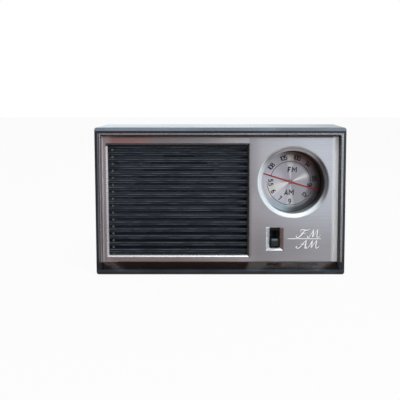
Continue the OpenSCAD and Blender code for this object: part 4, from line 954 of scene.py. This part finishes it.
# The dial's print: two rows of numbers, each at its angle, two words and two arcs.
def makePrint():
    p = dial
    low, high = p["discFront"] - p["inkSink"], p["discFront"] + p["inkThick"] + 0.01
    parts = []
    for numbers, radius, up in ((p["fmNumbers"], p["numberRadius"], -1), (p["amNumbers"], p["amRadius"], 1)):
        for word, angle in numbers.items():
            a = math.radians(angle)
            parts += strokeWord(
                word, p["numberHeight"], p["numberStroke"], radius * math.cos(a), radius * math.sin(a),
                a + up * math.pi / 2, low, high)
    for word, spot in (("FM", p["fmWord"]), ("AM", p["amWord"])):
        parts += strokeWord(
            word, p["wordHeight"], p["wordStroke"], *spot, 0.0, low, high, gap=1.3, slant=0.1, squeeze=1.02)
    parts.append(inkArc(p["upperCircle"], p["lineWidth"], 0, 165, low))
    parts.append(inkArc(p["lowerCircle"], p["lineWidth"], 180, 335, low))
    addPiece("dial_print", join(parts), "spun_disc", finish=printBlack)


needle = dict(
    half=23.7, width=1.25, tipWidth=0.8, front=-28.4, thick=0.5, rest=-17.2, tipRound=60, section=0.6,
    along=61, around=16, hub=1.75, hubBack=-29.7, hubEdges=[0, 0.15, 0.25, 0.4, 0],
)


# The needle: along it s runs from -1 to 1. Its width shrinks with |s| and is rounded off at both tips by
# the root of 1 - |s|^60, and its section is cos a and sin a, each to the power 0.6, so nearly square.
def makePointer():
    p = needle
    s = np.linspace(-1, 1, p["along"])[:, None]
    a = np.linspace(0, 2 * np.pi, p["around"], endpoint=False)[None, :]
    end = np.sqrt(np.clip(1 - np.abs(s) ** p["tipRound"], 0, 1))
    width = (p["width"] + (p["tipWidth"] - p["width"]) * np.abs(s)) * end / 2
    across = width * np.sign(np.cos(a)) * np.abs(np.cos(a)) ** p["section"]
    half = p["thick"] / 2
    up = p["front"] - half + end * half * np.sign(np.sin(a)) * np.abs(np.sin(a)) ** p["section"]
    reach = p["half"] * s + 0 * a
    c, n = math.cos(math.radians(p["rest"])), math.sin(math.radians(p["rest"]))
    points = onDial(reach * c - across * n, reach * n + across * c, up)
    shape = points, gridFaces(p["along"], p["around"])
    addPiece("needle", shape, "needle_red", "dial", stands=("pointer",))
    r, head, foot = p["hub"], p["front"] - 0.1, p["hubBack"]
    cap = rounded([(0, foot), (r, foot), (r, head - 0.5), (r * 0.6, head), (0, head)], p["hubEdges"])
    addPiece("needle_hub", lathe(cap, onDial, 48), "steel", "dial", finish=materials["spun_disc"])


makeRing()
makeDisc()
makePrint()
makePointer()
print("dial made")

# Raised label beside the switch: the two bands in a swash hand, with a line between them. Each stroke is
# a run of points with the stroke's width at each, and lies on a dark one, a painted shadow, set lower and to the
# right.
label = dict(
    line=(52.3, 78.0, 26.6, 0.55), w=-8.0, thick=0.25, sink=0.02, step=0.01, lower=(-0.9, -8.4),
    shadow=(0.28, -0.3), wider=0.12, shadowThick=0.04, shadowStep=0.003,
    f=[
        ([(59.4, 28.9), (58.8, 28.1), (59.6, 27.5), (61.2, 27.9), (63.0, 29.6), (64.8, 32.0), (65.9, 33.2)],
         [0.6, 0.7, 0.6, 0.7, 0.9, 0.8, 0.4]),
        ([(62.6, 31.6), (62.3, 32.8), (63.6, 33.6), (65.6, 33.2), (67.6, 33.2), (69.4, 34.0)],
         [0.35, 0.45, 0.7, 0.8, 0.6, 0.35]),
        ([(62.4, 30.5), (64.0, 30.9), (66.4, 30.7)], [0.35, 0.55, 0.35]),
    ],
    a=[
        ([(60.4, 29.2), (59.7, 28.4), (60.4, 27.6), (62.2, 27.8), (64.2, 29.8), (66.4, 32.6), (67.6, 33.9)],
         [0.6, 0.7, 0.6, 0.6, 0.5, 0.5, 0.4]),
        ([(67.6, 33.9), (67.2, 31.0), (66.7, 27.9), (67.4, 27.5)], [0.5, 0.95, 0.9, 0.5]),
        ([(62.6, 30.3), (64.4, 30.8), (67.2, 30.2)], [0.35, 0.55, 0.35]),
    ],
    m=[
        ([(68.0, 28.9), (67.6, 28.0), (68.4, 27.5), (69.8, 28.9), (71.4, 31.8), (72.4, 33.6)],
         [0.5, 0.6, 0.5, 0.5, 0.5, 0.4]),
        ([(72.4, 33.6), (72.0, 30.8), (71.6, 27.8)], [0.6, 0.95, 0.8]),
        ([(71.6, 27.8), (73.6, 30.8), (75.8, 33.8)], [0.4, 0.45, 0.45]),
        ([(75.8, 33.8), (75.2, 30.8), (75.0, 28.2), (75.8, 27.5), (77.0, 28.2), (77.8, 29.4)],
         [0.6, 0.95, 0.8, 0.55, 0.45, 0.35]),
    ],
)


# A run of points made smooth: between two points, a cubic through them and their neighbours.
def smoothed(points, steps=8):
    p = np.asarray(points, float)
    p = np.vstack([2 * p[0] - p[1], p, 2 * p[-1] - p[-2]])
    t = np.linspace(0, 1, steps, endpoint=False)[:, None]
    runs = []
    for a, b, c, d in zip(p, p[1:], p[2:], p[3:]):
        square, cube = 2 * a - 5 * b + 4 * c - d, 3 * b - a - 3 * c + d
        runs.append(0.5 * (2 * b + (c - a) * t + square * t ** 2 + cube * t ** 3))
    return np.vstack(runs + [p[-2:-1]])


# Each stroke of the label is made twice: pale and raised, and dark, wider and set lower as a painted shadow. A
# smooth run is carried as a ribbon, and the line between the bands is a rounded bar.
def makeLabel():
    p = label
    foot, top, low = p["w"] - p["sink"], p["w"] + p["thick"], p["w"] + p["shadowThick"]
    white, dark = [], []
    for first, shift in ((p["f"], (0, 0)), (p["a"], p["lower"])):
        for k, (points, width) in enumerate(first + p["m"]):
            run = smoothed(np.column_stack([points, width])) + np.array([*shift, 0])
            spots, width = run[:, :2], run[:, 2]
            white.append(ribbon(spots, width, foot, top + p["step"] * k, onFace))
            dark.append(ribbon(
                spots + np.array(p["shadow"]), width + p["wider"], foot, low + p["shadowStep"] * k, onFace))
    u0, u1, v, width = p["line"]
    section = roundedBox(v - width / 2, v + width / 2, foot, top, 0.1)
    white.append(bar(section, lambda b, w, u: onFace(u, b, w), u0, u1))
    addPiece("band_label", join(white), "brushed_plate", finish=paintWhite)
    addPiece("band_label_shade", join(dark), "brushed_plate", finish=shadeGrey)


makeLabel()
print("label made")

knobs = dict(
    inner=0.3, outer=5.0, flutes=36, fluteDepth=0.4, fluteWidth=0.55, fluteFrom=0.86, hub=1.5, hubDepth=1.2,
    dish=0.5, dishEdge=0.74, dishFoot=0.68, edges=[0, 0.4, 0.9, 0.3, 0.3, 0, 0, 0],
    tuning=dict(radius=11.0, y=48.699, z=89.734), volume=dict(radius=9.0, y=50.0, z=27.0),
)


# A side knob: a rounded disc with a dished face, and a rim whose radius dips in a cosine at each flute.
def makeKnob(name):
    p, k = knobs, knobs[name]
    side, r = boxInCabinet("cabinet")[1][0], k["radius"]
    x0, x1 = side + p["inner"], side + p["outer"]
    profile = rounded(
        [(p["hub"], x0), (r, x0), (r, x1), (r * p["dishEdge"], x1), (r * p["dishFoot"], x1 - p["dish"]),
         (0, x1 - p["dish"]), (0, x1 - p["hubDepth"]), (p["hub"], x1 - p["hubDepth"])], p["edges"], 6)

    def flutes(radius, height, turn):
        rim = np.clip((radius - r * p["fluteFrom"]) / (r * (1 - p["fluteFrom"])), 0, 1)
        away = np.abs((turn * p["flutes"] / (2 * np.pi)) % 1 - 0.5) * 2
        dip = np.clip(1 - away / p["fluteWidth"], 0, 1)
        return radius - p["fluteDepth"] * rim * (0.5 - 0.5 * np.cos(np.pi * dip)), height

    form = lathe(profile, lambda a, b, x: inCabinet(x, k["y"] + a, k["z"] + b), p["flutes"] * 10, flutes)
    addPiece(name + "_knob_form", form, "knob_black", name, stands=(name + "_knob",), sharp=50)


makeKnob("tuning")
makeKnob("volume")
print("knobs made")

screws = dict(
    headRadius=2.6, headThick=1.4, dome=0.35, rimShare=0.93, rimDrop=1.25,
    crossWidth=0.42, crossReach=1.5, crossDepth=0.7, crossSlope=0.12,
    shaftRadius=1.35, shaftTop=1.35, shaftRound=0.4,
)


# A screw head with a cross recess: a dome whose height falls where the point lies inside the cross.
def crossHead(place, rings=26, sides=96):
    p, radius, thick = screws, screws["headRadius"], screws["headThick"]
    r = np.concatenate([np.linspace(0.0, radius * p["rimShare"], rings), [radius, radius, 0.0]])[:, None]
    a = np.linspace(0, 2 * np.pi, sides, endpoint=False)[None, :]
    x, y = r * np.cos(a), r * np.sin(a)
    inside = lambda t, limit: np.clip((limit - np.abs(t)) / p["crossSlope"], 0, 1)
    reach, half = p["crossReach"], p["crossWidth"]
    cross = np.maximum(inside(x, reach) * inside(y, half), inside(y, reach) * inside(x, half))
    h = thick - p["dome"] * (r / radius) ** 2 - p["crossDepth"] * cross
    h[-3, :] = thick - p["dome"] * p["rimDrop"]
    h[-2:, :] = 0
    return place(x, y, h), gridFaces(len(r), sides)


# A head and a shaft at each corner of the screws' box.
def makeRearScrews():
    p, parts = screws, []
    low, high = boxInCabinet("rear_screws")
    r, foot = p["headRadius"], high[1] - p["headThick"]
    shaft = roundedBox(0, p["shaftRadius"], low[1], high[1] - p["shaftTop"], [0, p["shaftRound"], 0, 0])
    for x in (low[0] + r, high[0] - r):
        for z in (low[2] + r, high[2] - r):
            parts.append(crossHead(lambda a, b, h: inCabinet(x + a, foot + h, z + b)))
            parts.append(lathe(shaft, lambda a, b, h: inCabinet(x + a, h, z + b), 24))
    addPiece("rear_screw_heads", join(parts), "steel", stands=("rear_screws",), sharp=25)


feet = dict(radius=4.9, height=1.2, sink=0.8, edges=[0, 0.5, 0.1, 0])


# A rounded disc turned about its own axis, at each corner of the feet's box.
def makeFeet():
    low, high = boxInCabinet("feet")
    r = feet["radius"]
    profile = roundedBox(0, r, -feet["height"], feet["sink"], feet["edges"])
    parts = []
    for x in (low[0] + r, high[0] - r):
        for y in (low[1] + r, high[1] - r):
            parts.append(lathe(profile, lambda a, b, h: inCabinet(x + a, y + b, h), 64))
    addPiece("rubber_feet", join(parts), "foot_rubber", stands=("feet",))


whip = dict(
    radius=3.0, y=65.313, z=106.567, start=76.0, end=-66.0, wall=0.55, gap=0.05,
    waist=0.25, collar=3, collarSlope=3.4, plug=2, plugSlope=2.6,
    outerEdges=[0.15, 0.25, 0.2, 0.2, 0.2, 0.2, 0.2, 0, 0, 0.1], middleEdges=[0.1, 0.2, 0.1, 0, 0, 0],
    knobLess=0.3, rodEdges=[0, 1.2, 0.4, 0.1, 0.1, 0],
)


# Tubes of the whip: closed profiles of radius and place along X. The outer one is thinner between its
# two collars, and the tip ends in a small knob.
def makeWhip():
    p = whip
    start, end, outer = p["start"], p["end"], p["radius"]
    bore, waist, knob = outer - p["wall"], outer - p["waist"], outer - p["knobLess"]
    middle = outer - p["wall"] - p["gap"]
    tip = middle - p["wall"] - p["gap"]
    place = lambda a, b, x: inCabinet(x, p["y"] + a, p["z"] + b)

    def tube(node, kind, body, profile, edges, steps, sides):
        form = lathe(rounded(profile, edges, steps), place, sides)
        addPiece(node + kind, form, "whip_chrome", body, stands=(node,))

    tube("whip_outer", "_tube", "whip", [
        (bore, end), (outer, end), (outer, end + p["collar"]), (waist, end + p["collarSlope"]),
        (waist, start - p["collar"]), (outer, start - p["plugSlope"]), (outer, start), (0, start),
        (0, start - p["plug"]), (bore, start - p["plug"])], p["outerEdges"], 4, 64)
    bore = tip + p["gap"]
    tube("whip_middle", "_tube", "whip_middle", [
        (bore, end - 2), (middle, end - 2), (middle, start - 4), (0, start - 4), (0, start - 6),
        (bore, start - 6)], p["middleEdges"], 4, 48)
    tube("whip_tip", "_rod", "whip_tip", [
        (0, end - 8), (knob, end - 8), (knob, end - 4), (tip, end - 4), (tip, start - 8), (0, start - 8)],
        p["rodEdges"], 6, 48)


makeRearScrews()
makeFeet()
makeWhip()
print("screws, feet and whip made")


# Floor, backdrop and light. The cards are what the polished faces mirror: a wall that grows lighter to
# the right, a shaded side, a table top, and a pale wall behind.
studio = dict(
    floorHalf=3.0, floorColor=(0.86, 0.86, 0.86), floorGlow=0.93, worldLevel=0.42, aim=(0, 0, 0.05),
    lamps=dict(
        key=dict(place=(0.48, -1.0, 0.34), size=(0.25, 0.25), power=2.0),
        top=dict(place=(0.2, -0.5, 1.15), size=(0.7, 0.5), power=5.5),
        fill=dict(place=(-1.1, -0.9, 0.9), size=(1.0, 1.0), power=1.6),
    ),
    cards=dict(
        wall=dict(
            corners=[(-1.3, -0.95, 0), (1.2, -0.95, 0), (1.2, -0.95, 0.9), (-1.3, -0.95, 0.9)],
            dark=(0.32, 0.32, 0.335), light=(0.90, 0.95, 1.04), start=0.13, end=0.47, climb=0.7),
        side=dict(
            corners=[(-1.3, 0.6, 0), (-1.3, -0.95, 0), (-1.3, -0.95, 0.9), (-1.3, 0.6, 0.9)],
            dark=(0.08, 0.06, 0.055), light=(0.2, 0.19, 0.19), start=-1.4, end=0.4, climb=0.3),
        table=dict(
            corners=[(-1, -0.75, 0.0006), (1, -0.75, 0.0006), (1, -0.06, 0.0006), (-1, -0.06, 0.0006)],
            dark=(0.13, 0.09, 0.075), light=(0.24, 0.19, 0.17), start=-1.0, end=1.0, climb=0),
        behind=dict(
            corners=[(-0.9, 0.95, 0), (0.9, 0.95, 0), (0.9, 0.95, 0.45), (-0.9, 0.95, 0.45)],
            dark=(1.02, 1.12, 1.18), light=(0.70, 0.77, 0.81), start=0.0, end=0.3, climb=0),
    ),
)


# 1 for what the camera, a mirror or a clear piece sees, and 0 for what only gives light.
def lookedAt(graph):
    path = graph.node("ShaderNodeLightPath").socket.node
    camera, glossy, clear = [
        Field(graph, path.outputs["Is " + ray + " Ray"]) for ray in ("Camera", "Glossy", "Transmission")]
    return camera | glossy | clear


# A flat sheet between four corners.
def addSheet(name, corners, finish):
    data = bpy.data.meshes.new(name)
    data.from_pydata(corners, [], [range(4)])
    data.materials.append(finish.mat)
    sheet = bpy.data.objects.new(name, data)
    bpy.context.scene.collection.objects.link(sheet)
    return sheet


# A pale floor that takes the radio's shadow, and glows where the camera or a mirror sees it.
def makeFloor():
    half = studio["floorHalf"]
    f = Finish("paleFloor", studio["floorColor"], Roughness=0.9)
    lit, glow = Field(f, f.shader.outputs[0]), f.node("ShaderNodeEmission")
    mix = f.node("ShaderNodeMixShader", {}, [lookedAt(f) * studio["floorGlow"], lit, glow])
    f.feed(f.tree.nodes["Material Output"].inputs["Surface"], mix)
    floor = addSheet("floor", [(-half, -half, 0), (half, -half, 0), (half, half, 0), (-half, half, 0)], f)


# White where it is seen, and weaker where it lights the radio.
def makeWorld():
    world = bpy.data.worlds.new("studioWorld")
    world.use_nodes = True
    bpy.context.scene.world = world
    graph = Graph(world.node_tree)
    back = graph.tree.nodes["Background"]
    graph.feed(back.inputs["Color"], (1, 1, 1))
    graph.feed(back.inputs["Strength"], graph.node("ShaderNodeMapRange", {}, {
        "Value": lookedAt(graph), "To Min": studio["worldLevel"], "To Max": 1.0}))


# An area lamp turned to its aim: down by the angle from straight below, and round by its bearing.
def makeLamp(name, place, size, power):
    data = bpy.data.lights.new(name, "AREA")
    data.shape = "RECTANGLE"
    data.size, data.size_y = size
    data.energy = power
    lamp = bpy.data.objects.new(name, data)
    lamp.location = place
    away = np.array(studio["aim"]) - np.array(place)
    flat = math.hypot(away[0], away[1])
    lamp.rotation_euler = (math.atan2(flat, -away[2]), 0, math.atan2(away[1], away[0]) - math.pi / 2)
    lamp.visible_camera = False
    bpy.context.scene.collection.objects.link(lamp)


# A card that only reflections see. Its light goes from dark to light along X, and with its height.
def makeCard(name, corners, dark, light, start, end, climb):
    f = Finish(name)
    x = f.node("ShaderNodeSeparateXYZ", {}, [f.node("ShaderNodeTexCoord", output="Object")])
    along = x + Field(f, x.socket.node.outputs["Z"]) * climb
    glow = f.node("ShaderNodeEmission", {}, {"Color": f.tint(along.rise(start, end), dark, light)})
    f.feed(f.tree.nodes["Material Output"].inputs["Surface"], glow)
    card = addSheet(name, corners, f)
    card.visible_camera = card.visible_diffuse = card.visible_shadow = card.visible_transmission = False


makeFloor()
makeWorld()
for lampName, lamp in studio["lamps"].items():
    makeLamp(lampName + "Lamp", **lamp)
for cardName, card in studio["cards"].items():
    makeCard(cardName + "Card", **card)
print("stage and lamps made")

scene = bpy.context.scene
scene.view_settings.view_transform = "Standard"
